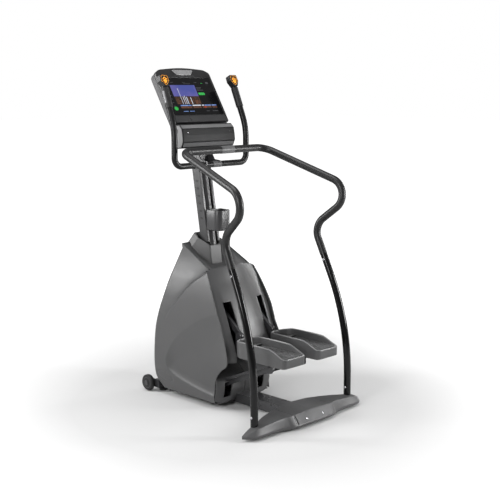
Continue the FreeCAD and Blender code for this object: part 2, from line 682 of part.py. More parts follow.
def lower_covers():
    outline = [(438, 50), (438, 172), (520, 236), (522, 232), (442, 168), (442, 50)]
    wall = slab("lower_cover_wall", "YZ", outline, 194, "seam", 0, 0)
    slot = box("lower_cover_slot", "slot_inner", 420, 62, "slot_width", 40, 106)
    beam_way = box("lower_cover_beam", 0, 400, 40, "beam_width / 2 + 2", 60, 26)
    arm_way = box("lower_cover_arm", "slot_inner", 440, 150, "slot_width", 120, 40)
    keep_pair("lower_cover", cut("lower_cover", wall, slot, beam_way, arm_way))


# ---------------------------------------------------------------- mast, cup holder and neck

def mast_y(z):
    """The mast axis, forward of the uprights, at a height."""
    return 683 + math.tan(math.radians(DIM["mast_lean"])) * (z - 889)


def mast():
    turn = FreeCAD.Rotation(AXIS_X, -DIM["mast_lean"])
    start, rise = 69, 1205
    length = rise / math.cos(math.radians(DIM["mast_lean"]))
    tube = cylinder("mast_outside", 0, 0, 0, "mast_radius", length)
    place(tube, 0, mast_y(start), start, turn)
    bore = cylinder("mast_bore", 0, 0, 0, "mast_radius - tube_wall", length - 8)
    place(bore, 0, mast_y(start + 6), start + 6, turn)
    pivot_way = cylinder("mast_pivot_way", -30, "arm_y", "arm_z", "shaft_radius + running", 60,
                         AXIS_X)
    keep("mast_tube", cut("mast", tube, bore, pivot_way))

    def plate_y(z, offset):
        return mast_y(z) + offset
    low, high = 858, 1262
    outline = [(plate_y(low, -23), low, 4), (plate_y(low, 37), low, 4),
               (plate_y(high, 37), high, 14), (plate_y(high, -23), high, 14)]
    plate = slab("mast_plate", "YZ", outline, "mast_plate", "mast_plate_in", 0, 0)
    keep_pair("mast_cover", plate)


def cup_holder():
    half, height = DIM["cup_half"], DIM["cup_height"]
    rear, front = 566, mast_y(DIM["cup_bottom"]) - DIM["mast_radius"] - 4
    outside = slab("cup_outside", "XY", [(-half, 0, 36), (half, 0, 36), (half, front - rear, 4),
                                         (-half, front - rear, 4)], "cup_height", 0, rear,
                   "cup_bottom")
    inset = 4
    inside = slab("cup_inside", "XY",
                  [(-half + inset, inset, 32), (half - inset, inset, 32),
                   (half - inset, front - rear - inset, 2), (-half + inset, front - rear - inset, 2)],
                  height, 0, rear, "cup_bottom + 5")
    bracket = box("cup_bracket", -14, front, 965, 28, mast_y(965) - DIM["mast_radius"] - front + 6, 30)
    tube_way = cylinder("cup_tube_way", 0, 0, 0, "mast_radius + 0.1", 300)
    place(tube_way, 0, mast_y(880), 880, FreeCAD.Rotation(AXIS_X, -DIM["mast_lean"]))
    keep("cup_holder", cut("cup", fuse("cup_solid", cut("cup_shell", outside, inside), bracket),
                           tube_way))


def neck_loft(name, grow):
    """The collar's outside: a loft between two tilted six-sided outlines, grown by a margin."""
    def section(tag, rear, waist, front, middle, height, slope):
        points = [(-rear[0], rear[1]), rear, waist, front, (-front[0], front[1]),
                  (-waist[0], waist[1])]
        corners = []
        for x, y in points:
            x += math.copysign(grow, x)
            y += math.copysign(grow, y - middle)
            corners.append(V(x, y + DIM["upright_y"], height + (y - middle) * slope))
        wire = doc.addObject("Part::Feature", tag)
        wire.Shape = Part.makePolygon(corners + corners[:1])
        return wire

    loft = doc.addObject("Part::Loft", name)
    loft.Sections = [section(name + "_bottom", (40, 627), (104, 735), (90, 770), 712, 795, 0.72),
                     section(name + "_top", (38, 636), (78, 700), (66, 748), 690, 880, 0.62)]
    loft.Solid = True
    loft.Ruled = True
    return loft


def neck():
    """The collar where the mast leaves the shroud, pierced for the tube and its side plates."""
    lean = FreeCAD.Rotation(AXIS_X, -DIM["mast_lean"])
    tube_way = cylinder("neck_tube_way", 0, 0, 0, "mast_radius + 0.5", 400)
    place(tube_way, 0, mast_y(640), 640, lean)
    plates_from = 856
    plate_way = box("neck_plate_way", -45.6, mast_y(plates_from) - 24, plates_from, 91.2, 64, 200, lean)
    keep("shroud_neck", cut("neck", neck_loft("neck_loft", 0), tube_way, plate_way))


# ---------------------------------------------------------------- console and handlebar

CONSOLE_FOOT = (282 + 455, 1501)


def console_place():
    """Rotation whose Y runs up the console face and whose Z points at the user."""
    return FreeCAD.Rotation(AXIS_X, DIM["console_tilt"])


def on_console(obj, up, out):
    """Place an object made in console coordinates: up the face, and out towards the user."""
    turn = console_place()
    offset = turn.multVec(V(0, amount(up), amount(out)))
    return place(obj, 0, CONSOLE_FOOT[0] + offset.y, CONSOLE_FOOT[1] + offset.z, turn)


def console_outline(inset, bottom):
    half, height = DIM["console_half"] - inset, DIM["console_height"] - inset
    return [(-half, bottom, 6), (half, bottom, 6), (half, height - 22, 20), (half - 34, height - 2, 60),
            (0, height + 13, 900), (-half + 34, height - 2, 60), (-half, height - 22, 20)]


def console():
    face = slab("console_face", "XY", console_outline(0, 0), "frame_thick")
    on_console(face, 0, "0 - frame_thick")
    seat = slab("console_glass_seat", "XY",
                [(-DIM["glass_half"], 0, 6), (DIM["glass_half"], 0, 6),
                 (DIM["glass_half"], DIM["glass_high"] - DIM["glass_low"], 6),
                 (-DIM["glass_half"], DIM["glass_high"] - DIM["glass_low"], 6)], 10)
    on_console(seat, "glass_low", "0 - glass_thick")
    window_half, window_high = 174, 100
    window = slab("console_window", "XY", [(-window_half, -window_high), (window_half, -window_high),
                                           (window_half, window_high), (-window_half, window_high)],
                  30)
    on_console(window, 161, -25)
    keep("console_front_frame", cut("console_frame", face, seat, window))
    gap = 0.2
    glass = slab("console_glass", "XY",
                 [(-DIM["glass_half"] + gap, gap, 6), (DIM["glass_half"] - gap, gap, 6),
                  (DIM["glass_half"] - gap, DIM["glass_high"] - DIM["glass_low"] - gap, 6),
                  (-DIM["glass_half"] + gap, DIM["glass_high"] - DIM["glass_low"] - gap, 6)],
                 "glass_thick - 0.1")
    on_console(glass, "glass_low", "0 - glass_thick + 0.1")
    keep("display_glass", glass)
    panel = slab("console_panel", "XY", [(-172, -97), (172, -97), (172, 97), (-172, 97)], 12)
    on_console(panel, 161, -16)
    keep("display_panel", panel)

    shell = slab("console_back", "XY", console_outline(3, -40), 46)
    on_console(shell, 0, -64.1)
    slant_x = slab("console_back_cut", "YZ",
                   [(-60, -100), (360, -100), (360, -47), (-60, -66.5)], 500)
    on_console(slant_x, 0, 0)
    slant_x.setExpression("Placement.Base.x", "-250")
    hollow = slab("console_back_hollow", "XY", console_outline(7, 6), 40)
    on_console(hollow, 0, -58.1)
    inner_slant = slab("console_hollow_cut", "YZ",
                       [(-60, -100), (360, -100), (360, -43), (-60, -62.5)], 500)
    on_console(inner_slant, 0, 0)
    inner_slant.setExpression("Placement.Base.x", "-250")
    open_space = cut("console_open_space", hollow, inner_slant)
    keep("console_rear_shell", cut("console_shell", shell, slant_x, open_space))


def tray():
    """Accessory tray below the display, a trough open at the top."""
    half, wall = 190, 6
    rear = [(714, 1492), (692, 1470), (685, 1436), (681, 1403), (697, 1368)]
    front = [(742, 1362), (768, 1400), (764, 1431), (729, 1454), (745, 1482), (742, 1490)]
    outline = [(y - 690, z - 1400) for y, z in rear + front]
    solid = slab("tray_solid", "YZ", outline, 2 * half, -half, 690, 1400)
    hollow = [(719, 1500), (738, 1500), (738, 1484), (721, 1457), (722, 1450), (757, 1427),
              (761, 1402), (740, 1369), (702, 1373), (688, 1404), (692, 1434), (698, 1466)]
    outline = [(y - 690, z - 1400) for y, z in hollow]
    pocket = slab("tray_pocket", "YZ", outline, 2 * (half - wall), -half + wall, 690, 1400)
    keep("accessory_tray", cut("tray", solid, pocket))


def console_bracket():
    """Two plates and a web that carry the console and the handlebar on the mast head."""
    plate_in, plate_thick = 46, 6
    outline = [(655, 1296), (655, 1262, 6), (690, 1264), (745, 1275), (765, 1290), (776, 1340),
               (802, 1390), (824, 1440), (852, 1510), (827, 1527), (774.5, 1432.5), (772, 1400),
               (750, 1352), (720, 1330), (700, 1300)]
    outline = [(p[0] - 655, p[1] - 1262) + p[2:] for p in outline]
    plate = slab("bracket_plate", "YZ", outline, plate_thick, plate_in, 655, 1262)
    other = doc.addObject("Part::Mirroring", "bracket_plate_left")
    other.Source = plate
    other.Normal = AXIS_X
    web = box("bracket_web", -plate_in, 745, 1276, 2 * plate_in, plate_thick, 60)
    bar_way = cylinder("bracket_bar_way", -60, 672, 1276, "bar_radius + 0.1", 120, AXIS_X)
    keep("console_bracket", cut("bracket", fuse("bracket_solid", plate, other, web), bar_way))


HANDLEBAR = [(252, 757, 1690), (261, 672, 1470, 320), (262, 672, 1276, 46)]


def handlebar():
    path = HANDLEBAR + [(-262, 672, 1276, 46), (-261, 672, 1470, 320), (-252, 757, 1690)]
    keep("handlebar", bent_tube("handlebar", path, "bar_radius", "bar_radius - tube_wall"))

    top, knee = V(*HANDLEBAR[0]), V(*HANDLEBAR[1][:3])
    run = (top - knee).normalize()
    start, length = top - run * 118, 108
    sleeve = cylinder("bar_grip", 0, 0, 0, "bar_grip_radius", length)
    place(sleeve, start.x, start.y, start.z, FreeCAD.Rotation(AXIS_Z, run))
    bore = cylinder("bar_grip_bore", 0, 0, 0, "bar_radius", length)
    place(bore, start.x, start.y, start.z, FreeCAD.Rotation(AXIS_Z, run))
    plate_turn = FreeCAD.Rotation(AXIS_Z, run)
    plate_place = start + run * 26
    plate_place = plate_place + plate_turn.multVec(V(16.6, -11, 0))
    plate_recess = box("contact_recess", 0, 0, 0, 5, 22.2, 66.2)
    place(plate_recess, plate_place.x, plate_place.y, plate_place.z, plate_turn)
    grip = cut("bar_grip_sleeve", sleeve, bore, plate_recess)
    keep_pair("handlebar_grip", grip)
    ring = cylinder("contact_ring", 0, 0, 0, "bar_grip_radius + 0.3", length)
    place(ring, start.x, start.y, start.z, FreeCAD.Rotation(AXIS_Z, run))
    core = cylinder("contact_core", 0, 0, 0, "bar_radius + 0.1", length)
    place(core, start.x, start.y, start.z, FreeCAD.Rotation(AXIS_Z, run))
    strip = box("contact_strip", 0, 0, 0, 5, 22, 66)
    place(strip, plate_place.x, plate_place.y, plate_place.z, plate_turn)
    contact = cut("contact_plate_shaped", common("contact_plate_round", strip, ring), core)
    keep("contact_plates", mirrored("contact_plates", contact))


def control_heads():
    """Paddle-shaped control heads on the handlebar ends, each with a rocking thumb switch."""
    turn = FreeCAD.Rotation(AXIS_X, 64)
    middle = (251, 764, 1716)
    outline = [(-14, -32, 5), (14, -32, 5), (30, 0, 6), (27, 34, 8), (-27, 34, 8), (-30, 0, 6)]
    body = slab("head_body", "XY", outline, 30)
    normal = turn.multVec(V(0, 0, 1))
    back = normal * -17
    place(body, middle[0], middle[1] + back.y, middle[2] + back.z, turn)
    recess_points = [(0, -22, 3), (19, -2, 4), (18, 24, 4), (-18, 24, 4), (-19, -2, 4)]
    recess = slab("head_recess", "XY", [(p[0] * 1.05, p[1] * 1.05, p[2]) for p in recess_points], 20)
    seat = normal * 6.5
    place(recess, middle[0], middle[1] + seat.y, middle[2] + seat.z, turn)
    bar_way = cylinder("head_bar_way", 0, 0, 0, "bar_radius + 0.1", 60)
    top, knee = V(*HANDLEBAR[0]), V(*HANDLEBAR[1][:3])
    run = (top - knee).normalize()
    low = top - run * 60
    place(bar_way, low.x, low.y, low.z, FreeCAD.Rotation(AXIS_Z, run))
    grip_way = cylinder("head_grip_way", 0, 0, 0, "bar_grip_radius + 0.5", 60)
    low = top - run * 70
    place(grip_way, low.x, low.y, low.z, FreeCAD.Rotation(AXIS_Z, run))
    pad_thickness, pad_lift = 5, 8.5
    pin_half, pin_radius, pin_gap = 22, 1.5, 0.2
    lift = normal * pad_lift
    axis = normal * (pad_lift + pad_thickness / 2)
    axis_y, axis_z = middle[1] + axis.y, middle[2] + axis.z
    pin_way = cylinder("switch_pin_way", middle[0] - pin_half - 1, axis_y, axis_z,
                       pin_radius + pin_gap, 2 * (pin_half + 1), AXIS_X)
    keep_pair("control_head", cut("control_head", body, recess, bar_way, grip_way, pin_way))
    pad = slab("switch_pad", "XY", recess_points, pad_thickness)
    place(pad, middle[0], middle[1] + lift.y, middle[2] + lift.z, turn)
    pin = cylinder("switch_pin", middle[0] - pin_half, axis_y, axis_z, pin_radius, 2 * pin_half,
                   AXIS_X)
    keep_pair("thumb_switch", fuse("thumb_switch", pad, pin))


base_frame()
wheels()
feet()
handrails()
rear_covers()
drive_frame()
shafts()
return_springs()
pulleys()
linkage()
pedal_carriers()
pedals()
shroud()
lower_covers()
mast()
cup_holder()
neck()
console()
tray()
console_bracket()
handlebar()
control_heads()
doc.recompute()

# ---------------------------------------------------------------- checks and export

failed = [obj.Name for obj in doc.Objects if "Invalid" in obj.State or "Error" in obj.State]
if failed:
    raise RuntimeError("objects that did not compute: " + ", ".join(failed))
for name, obj in NODES.items():
    if obj.Shape.isNull() or not obj.Shape.isValid() or not obj.Shape.Solids:
        raise RuntimeError("bad shape: " + name)

os.makedirs("parts", exist_ok=True)
for name, obj in NODES.items():
    obj.Shape.exportStep(f"parts/{name}.step")
print(len(NODES), "sub-parts written")
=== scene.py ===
"""Looks of the two-pedal stair climber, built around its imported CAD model.  Metres."""
import json
import math

import bmesh
import bpy
import numpy as np
from mathutils import Matrix, Vector


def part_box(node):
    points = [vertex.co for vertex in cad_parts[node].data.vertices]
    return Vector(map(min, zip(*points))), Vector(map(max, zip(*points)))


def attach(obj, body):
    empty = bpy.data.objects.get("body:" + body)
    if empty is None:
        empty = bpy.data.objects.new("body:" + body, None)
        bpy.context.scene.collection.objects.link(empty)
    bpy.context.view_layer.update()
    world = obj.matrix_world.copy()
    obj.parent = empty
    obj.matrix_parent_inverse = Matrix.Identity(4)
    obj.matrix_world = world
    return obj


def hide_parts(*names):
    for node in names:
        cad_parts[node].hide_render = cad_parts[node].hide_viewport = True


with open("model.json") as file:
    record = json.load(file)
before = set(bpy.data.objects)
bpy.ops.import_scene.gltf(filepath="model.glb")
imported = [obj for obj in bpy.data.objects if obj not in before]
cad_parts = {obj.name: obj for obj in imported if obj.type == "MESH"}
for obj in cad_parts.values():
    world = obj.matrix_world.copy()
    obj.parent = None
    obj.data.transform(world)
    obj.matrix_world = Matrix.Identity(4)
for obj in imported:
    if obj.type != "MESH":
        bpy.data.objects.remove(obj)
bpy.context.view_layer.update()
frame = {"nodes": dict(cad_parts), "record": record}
NODES = frame["nodes"]


# ---- places

def middle(node):
    """Centre of a CAD node's box."""
    low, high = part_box(node)
    return (low + high) / 2


BASE_Y = middle("rear_cross_tube").y        # the handrail uprights' place along Y


SIDES = ((-1, "left"), (1, "right"))


def at(x, forward, z):
    """A point given forward of the uprights."""
    return Vector((x, BASE_Y + forward, z))


# ---- materials

def new_material(name):
    """A new material, its nodes, its links and its main shader."""
    material = bpy.data.materials.new(name)
    material.use_nodes = True
    nodes = material.node_tree.nodes
    shader = nodes["Principled BSDF"]
    return material, nodes, material.node_tree.links, shader


def noise(nodes, links, coords, scale, detail=3.0, rough=0.5):
    """A noise value at the given coordinates."""
    texture = nodes.new("ShaderNodeTexNoise")
    texture.inputs["Scale"].default_value = scale
    texture.inputs["Detail"].default_value = detail
    texture.inputs["Roughness"].default_value = rough
    links.new(coords, texture.inputs["Vector"])
    return texture.outputs["Fac"]


def spread(nodes, links, value, low, high, start=0.3, end=0.7):
    """Map a value from start..end onto low..high."""
    ramp = nodes.new("ShaderNodeMapRange")
    ramp.inputs["From Min"].default_value = start
    ramp.inputs["From Max"].default_value = end
    ramp.inputs["To Min"].default_value = low
    ramp.inputs["To Max"].default_value = high
    links.new(value, ramp.inputs["Value"])
    return ramp.outputs["Result"]


def combined(nodes, links, operation, first, second):
    """The sum or the product of two values."""
    node = nodes.new("ShaderNodeMath")
    node.operation = operation
    links.new(first, node.inputs[0])
    links.new(second, node.inputs[1])
    return node.outputs[0]


def tinted(nodes, links, value, colour):
    """A grey value times a colour."""
    mix = nodes.new("ShaderNodeMix")
    mix.data_type = "RGBA"
    mix.blend_type = "MULTIPLY"
    mix.inputs["Factor"].default_value = 1.0
    mix.inputs["A"].default_value = (*colour, 1)
    links.new(value, mix.inputs["B"])
    return mix.outputs["Result"]


def surface(name, colour, rough, grain=1000, grain_depth=0.00002, metallic=0.0, mottle=0.12,
            edge_wear_and_highlight=0.0, coat=0.0, spread_rough=0.08, specular=0.5):
    """A moulded, painted or metal surface.

    The colour drifts over the piece, fine grain breaks up the gloss, and convex edges are lighter:
    wear where the amount is small, and a painted highlight where it is large, as on the pedal.
    """
    material, nodes, links, shader = new_material(name)
    coords = nodes.new("ShaderNodeTexCoord").outputs["Object"]
    drift = spread(nodes, links, noise(nodes, links, coords, 7.0, 4.0), 1 - mottle, 1 + mottle)
    specks = spread(nodes, links, noise(nodes, links, coords, grain, 2.0), 1 - mottle / 2,
                    1 + mottle / 2)
    edge = nodes.new("ShaderNodeNewGeometry").outputs["Pointiness"]
    # Lighter convex edges: wear at small amounts, and a painted highlight at large ones.
    worn_and_highlit_edges = spread(nodes, links, edge, 0.0, edge_wear_and_highlight, 0.52, 0.62)
    level = combined(nodes, links, "ADD", combined(nodes, links, "MULTIPLY", drift, specks), worn_and_highlit_edges)
    links.new(tinted(nodes, links, level, colour), shader.inputs["Base Color"])
    patches = noise(nodes, links, coords, 23.0, 5.0, 0.6)
    links.new(spread(nodes, links, patches, rough - spread_rough, rough + spread_rough),
              shader.inputs["Roughness"])
    shader.inputs["Metallic"].default_value = metallic
    shader.inputs["Coat Weight"].default_value = coat
    shader.inputs["Coat Roughness"].default_value = 0.15
    shader.inputs["Specular IOR Level"].default_value = specular
    bump = nodes.new("ShaderNodeBump")
    bump.inputs["Strength"].default_value = 0.6
    bump.inputs["Distance"].default_value = grain_depth
    links.new(noise(nodes, links, coords, grain, 3.0), bump.inputs["Height"])
    links.new(bump.outputs["Normal"], shader.inputs["Normal"])
    return material


SHROUD = surface("shroud_plastic", (0.058, 0.058, 0.059), 0.4, grain=1100, mottle=0.04,
                 spread_rough=0.025, specular=0.6)
PLATE_DARK = surface("cover_plate", (0.095, 0.095, 0.097), 0.55, grain=900, grain_depth=0.00003,
                     mottle=0.05, specular=0.35)
COVER = surface("floor_cover", (0.072, 0.072, 0.0735), 0.42, mottle=0.05, spread_rough=0.03)
SHELL = surface("console_shell", (0.105, 0.105, 0.108), 0.38, grain=900, mottle=0.05,
                spread_rough=0.03)
# A lighter copy of the pedal plastic: a painted highlight on the pedal rim's top faces and the
# tray's top lip.
RIM_PAINTED_HIGHLIGHT = surface("pedal_rim", (0.150, 0.150, 0.152), 0.34, grain=800, grain_depth=0.00003, mottle=0.1)
# The strong edge lightening set here paints a highlight along the pedal's convex rim edges.
PEDAL = surface("pedal_plastic", (0.060, 0.060, 0.061), 0.36, grain=800, grain_depth=0.00004,
                edge_wear_and_highlight=1.0)
RUBBER = surface("grip_rubber", (0.012, 0.012, 0.0125), 0.38, grain=1500, grain_depth=0.000004,
                 mottle=0.2, spread_rough=0.02, specular=0.4)
TYRE = surface("tyre_rubber", (0.012, 0.012, 0.0125), 0.5, grain=1300, grain_depth=0.00003,
               edge_wear_and_highlight=0.3, specular=0.4)
UPRIGHT = surface("upright_paint", (0.004, 0.004, 0.0043), 0.12, grain=260, grain_depth=0.000004,
                  spread_rough=0.02, specular=0.32)
FRAME = surface("frame_paint", (0.035, 0.035, 0.037), 0.32, grain=400, grain_depth=0.00003,
                coat=0.2)
MAST = surface("mast_paint", (0.036, 0.036, 0.0375), 0.34, grain=500, grain_depth=0.00003,
               coat=0.15)
LINKAGE = surface("linkage_paint", (0.028, 0.028, 0.030), 0.36, grain=420, grain_depth=0.00003)
CONSOLE = surface("console_plastic", (0.013, 0.013, 0.0135), 0.42, spread_rough=0.03, specular=0.45)
STEEL = surface("machined_steel", (0.52, 0.52, 0.54), 0.28, grain=700, grain_depth=0.00001,
                metallic=1.0, mottle=0.06, edge_wear_and_highlight=0.1)
CASTING = surface("machined_casting", (0.20, 0.20, 0.21), 0.5, grain=300, grain_depth=0.0002,
                  metallic=0.6, edge_wear_and_highlight=0.2)
HANDLEBAR = surface("handlebar_paint", (0.009, 0.009, 0.0095), 0.34, grain=300, grain_depth=0.00001,
                    spread_rough=0.02, specular=0.25)
TRAY = surface("tray_plastic", (0.0065, 0.0065, 0.007), 0.5, grain_depth=0.00001, spread_rough=0.03,
               specular=0.25)
CONTACT = surface("contact_plate", (0.15, 0.15, 0.155), 0.45, grain=600, grain_depth=0.00001,
                  metallic=0.9, mottle=0.05, spread_rough=0.03)
GLASS = surface("display_glass", (0.004, 0.004, 0.0045), 0.14, grain=200, grain_depth=0.000002,
                spread_rough=0.02, specular=0.3)
PLATE = surface("console_plate", (0.30, 0.30, 0.305), 0.3, grain=600, grain_depth=0.00012,
                metallic=0.3, edge_wear_and_highlight=0.2)
BOARD = surface("display_module", (0.03, 0.06, 0.04), 0.4, grain=300, grain_depth=0.00012,
                edge_wear_and_highlight=0.25)
ORANGE = surface("switch_orange", (0.92, 0.36, 0.03), 0.35, grain=900, grain_depth=0.00012,
                 edge_wear_and_highlight=0.2)

SLOT_MATERIAL = {
    "grip_rubber": RUBBER, "upright_paint": UPRIGHT, "frame_paint": FRAME, "mast_paint": MAST,
    "linkage_paint": LINKAGE, "steel": STEEL, "cast_metal": CASTING, "black_rubber": TYRE,
    "wheel_tyre": TYRE, "pedal_plastic": PEDAL, "shroud_plastic": SHROUD,
    "console_plastic": CONSOLE, "display_glass": GLASS, "board": BOARD, "contact_metal": CONTACT,
    "switch_orange": ORANGE,
}
for entry in frame["record"]["subparts"]:
    node = NODES[entry["node"]]
    node.data.materials.clear()
    node.data.materials.append(SLOT_MATERIAL[entry["material_slot"]])
NODES["handlebar"].data.materials[0] = HANDLEBAR


# ---- mesh helpers

def piece(name, points, faces, material, replaces=(), smooth=40, body="frame"):
    """A mesh piece that rides on a body."""
    mesh = bpy.data.meshes.new(name)
    mesh.from_pydata([tuple(p) for p in points], [], [tuple(f) for f in faces])
    mesh.validate()
    obj = bpy.data.objects.new(name, mesh)
    bpy.context.scene.collection.objects.link(obj)
    tidy = bmesh.new()
    tidy.from_mesh(mesh)
    bmesh.ops.remove_doubles(tidy, verts=tidy.verts, dist=1e-5)
    bmesh.ops.recalc_face_normals(tidy, faces=tidy.faces)
    tidy.to_mesh(mesh)
    tidy.free()
    mesh.materials.append(material)
    shade(obj, smooth)
    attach(obj, body)
    if replaces:
        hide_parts(*replaces)
    return obj


def shade(obj, angle):
    """Smooth shading, with creases sharper than an angle kept."""
    mesh = obj.data
    for polygon in mesh.polygons:
        polygon.use_smooth = True
    work = bmesh.new()
    work.from_mesh(mesh)
    limit = math.radians(angle)
    for edge in work.edges:
        if len(edge.link_faces) == 2:
            edge.smooth = edge.calc_face_angle(0) < limit
    work.to_mesh(mesh)
    work.free()


def thicken(obj, thickness):
    """Give a sheet a thickness, inwards from its face."""
    solid = obj.modifiers.new("thickness", "SOLIDIFY")
    solid.thickness = thickness
    solid.offset = -1.0


def bevel(obj, width, segments, angle):
    """Round the edges that are sharper than an angle."""
    edge = obj.modifiers.new("bevel", "BEVEL")
    edge.width = width
    edge.segments = segments
    edge.limit_method = "ANGLE"
    edge.angle_limit = math.radians(angle)
    edge.harden_normals = False


def grid_faces(rows, columns, keep=None):
    """Quads of a rows x columns grid of points; keep(i, j) says which cells to keep."""
    return [(i * columns + j, i * columns + j + 1, (i + 1) * columns + j + 1, (i + 1) * columns + j)
            for i in range(rows - 1) for j in range(columns - 1) if keep is None or keep(i, j)]


def curve_through(points, steps=12):
    """Points of a smooth curve through the given points."""
    pts = [Vector(p) for p in points]
    pts = [2 * pts[0] - pts[1]] + pts + [2 * pts[-1] - pts[-2]]
    result = []
    for i in range(1, len(pts) - 2):
        a, b, c, d = pts[i - 1], pts[i], pts[i + 1], pts[i + 2]
        for k in range(steps):
            t = k / steps
            result.append(0.5 * ((2 * b) + (c - a) * t + (2 * a - 5 * b + 4 * c - d) * t * t
                                 + (3 * b - a - 3 * c + d) * t ** 3))
    result.append(pts[-2])
    return result


def smoothstep(low, high, value):
    """0 up to the start and 1 from the end on, with a smooth rise between."""
    t = np.clip((np.asarray(value, float) - low) / (high - low), 0, 1)
    return t * t * (3 - 2 * t)


def profile(points, steps=14):
    """A smooth function through (input, output) points."""
    line = curve_through([(p[0], p[1], 0) for p in points], steps)
    xs = np.maximum.accumulate([p.x for p in line])
    ys = [p.y for p in line]
    return lambda value: np.interp(value, xs, ys)


# ---- shroud

shroud_rear = profile([(0.040, 0.436), (0.100, 0.443), (0.140, 0.441), (0.178, 0.428),
                       (0.206, 0.408), (0.228, 0.384), (0.250, 0.352), (0.268, 0.338),
                       (0.300, 0.337), (0.350, 0.350), (0.418, 0.380), (0.480, 0.402),
                       (0.560, 0.437), (0.650, 0.483), (0.731, 0.530)])
shroud_front = profile([(0.040, 0.868), (0.056, 0.885), (0.086, 0.915), (0.118, 0.932),
                        (0.180, 0.939), (0.280, 0.936), (0.380, 0.926), (0.480, 0.902),
                        (0.583, 0.869), (0.650, 0.849), (0.720, 0.824), (0.790, 0.793),
                        (0.852, 0.758)])
band_half = profile([(0.040, 0.204), (0.100, 0.2115), (0.250, 0.2135), (0.420, 0.209),
                     (0.560, 0.193), (0.650, 0.175), (0.720, 0.157), (0.780, 0.146),
                     (0.852, 0.140)])
facet_half = profile([(0.040, 0.204), (0.250, 0.2135), (0.420, 0.2095), (0.560, 0.1985),
                      (0.650, 0.186), (0.731, 0.170)])
crease_z = profile([(0.500, 0.745), (0.532, 0.727), (0.595, 0.686), (0.652, 0.642),
                    (0.741, 0.548), (0.803, 0.472), (0.859, 0.362), (0.900, 0.250)])
SCOOP = [(0.300, 0.552), (0.427, 0.517), (0.555, 0.469), (0.670, 0.396), (0.750, 0.327),
         (0.807, 0.243), (0.817, 0.190), (0.790, 0.150), (0.710, 0.118), (0.628, 0.099),
         (0.515, 0.080), (0.447, 0.074), (0.300, 0.066)]
CORNER_TOP, APEX_TOP = 0.731, 0.852
RIDGE_START, RIDGE_END = 0.530, 0.757
RIDGE_SLOPE = (APEX_TOP - CORNER_TOP) / (RIDGE_END - RIDGE_START)
CROWN = 0.020                               # rise of the rear face's top edge in its middle
SLOT_LOW, SLOT_HIGH = 0.097, 0.147          # the pedal arms' slots, either side of the middle


def outline_distance(y, z, outline):
    """How far points lie inside a closed outline; negative outside."""
    loop = [(p.x, p.y) for p in curve_through([(a, b, 0) for a, b in outline], 8)]
    best = np.full(y.shape, 1e9)
    inside = np.zeros(y.shape, bool)
    for (ay, az), (by, bz) in zip(loop, loop[1:] + loop[:1]):
        dy, dz = by - ay, bz - az
        length = dy * dy + dz * dz
        if length == 0:
            continue
        t = np.clip(((y - ay) * dy + (z - az) * dz) / length, 0, 1)
        best = np.minimum(best, np.hypot(y - ay - t * dy, z - az - t * dz))
        if dz != 0:
            crosses = ((az > z) != (bz > z)) & (y < ay + (z - az) * dy / dz)
            inside ^= crosses
    return np.where(inside, best, -best)


def badge_ring(y, z):
    """1 on the oval groove of the blank badge, low on the side, less inside and more outside."""
    turn = math.radians(10)
    y, z = y - 0.828, z - 0.111
    along = y * math.cos(turn) + z * math.sin(turn)
    across = z * math.cos(turn) - y * math.sin(turn)
    return np.hypot(along / 0.062, across / 0.021)


def shroud_half(y, z):
    """Half width of the shroud's side at a place in its side view."""
    below = (crease_z(y) - z) * 0.75
    fade = 1 - smoothstep(0.60, 0.88, y)
    raised = smoothstep(-0.002, 0.006, below)
    half = band_half(z) + (facet_half(z) - band_half(z)) * raised * fade
    half -= 0.007 * fade * np.exp(-np.abs(below) / 0.028) * (1 - raised)
    scoop = outline_distance(y, z, SCOOP)
    width = 0.05 + 0.11 * smoothstep(0.12, 0.30, z - 0.12 * (y - 0.45))
    t = np.clip(scoop / width, 0, 1)
    half -= 0.0125 * (1 - (1 - t) ** 2)
    return half - 0.0016 * np.exp(-((badge_ring(y, z) - 1) / 0.09) ** 2)


def shroud_levels():
    """Heights of the rows, close together where the outline turns."""
    return np.concatenate([np.linspace(0.040, 0.180, 34, endpoint=False),
                           np.linspace(0.180, 0.300, 44, endpoint=False),
                           np.linspace(0.300, 0.724, 110, endpoint=False),
                           np.linspace(0.724, APEX_TOP, 44)])


def side_panel(sign, side):
    """One side of the shroud, from its rear edge round to the middle of the front."""
    levels = shroud_levels()
    along = np.linspace(0, 1, 120)
    turn = np.linspace(0, math.pi / 2, 26)[1:]
    points = []
    for z in levels:
        if z <= CORNER_TOP:
            rear = shroud_rear(z)
        else:
            rear = RIDGE_START + (z - CORNER_TOP) / RIDGE_SLOPE
        front = shroud_front(z)
        corner = min(0.030, 0.46 * (front - rear))
        straight = rear + (front - corner - rear) * along
        half = shroud_half(straight, np.full_like(straight, z))
        rows = [(sign * h, y) for h, y in zip(half, straight)]
        power = 0.8
        for angle in turn:
            x = half[-1] * max(math.cos(angle), 0) ** power
            y = front - corner + corner * math.sin(angle) ** power
            rows.append((sign * max(x, 0.0004), y))
        points += [at(x, y, z) for x, y in rows]
    columns = len(along) + len(turn)
    panel = piece(f"{side}_shroud_panel", points, grid_faces(len(levels), columns), SHROUD,
                  [f"{side}_shroud"], smooth=28)
    thicken(panel, 0.004)


# ---- more mesh helpers

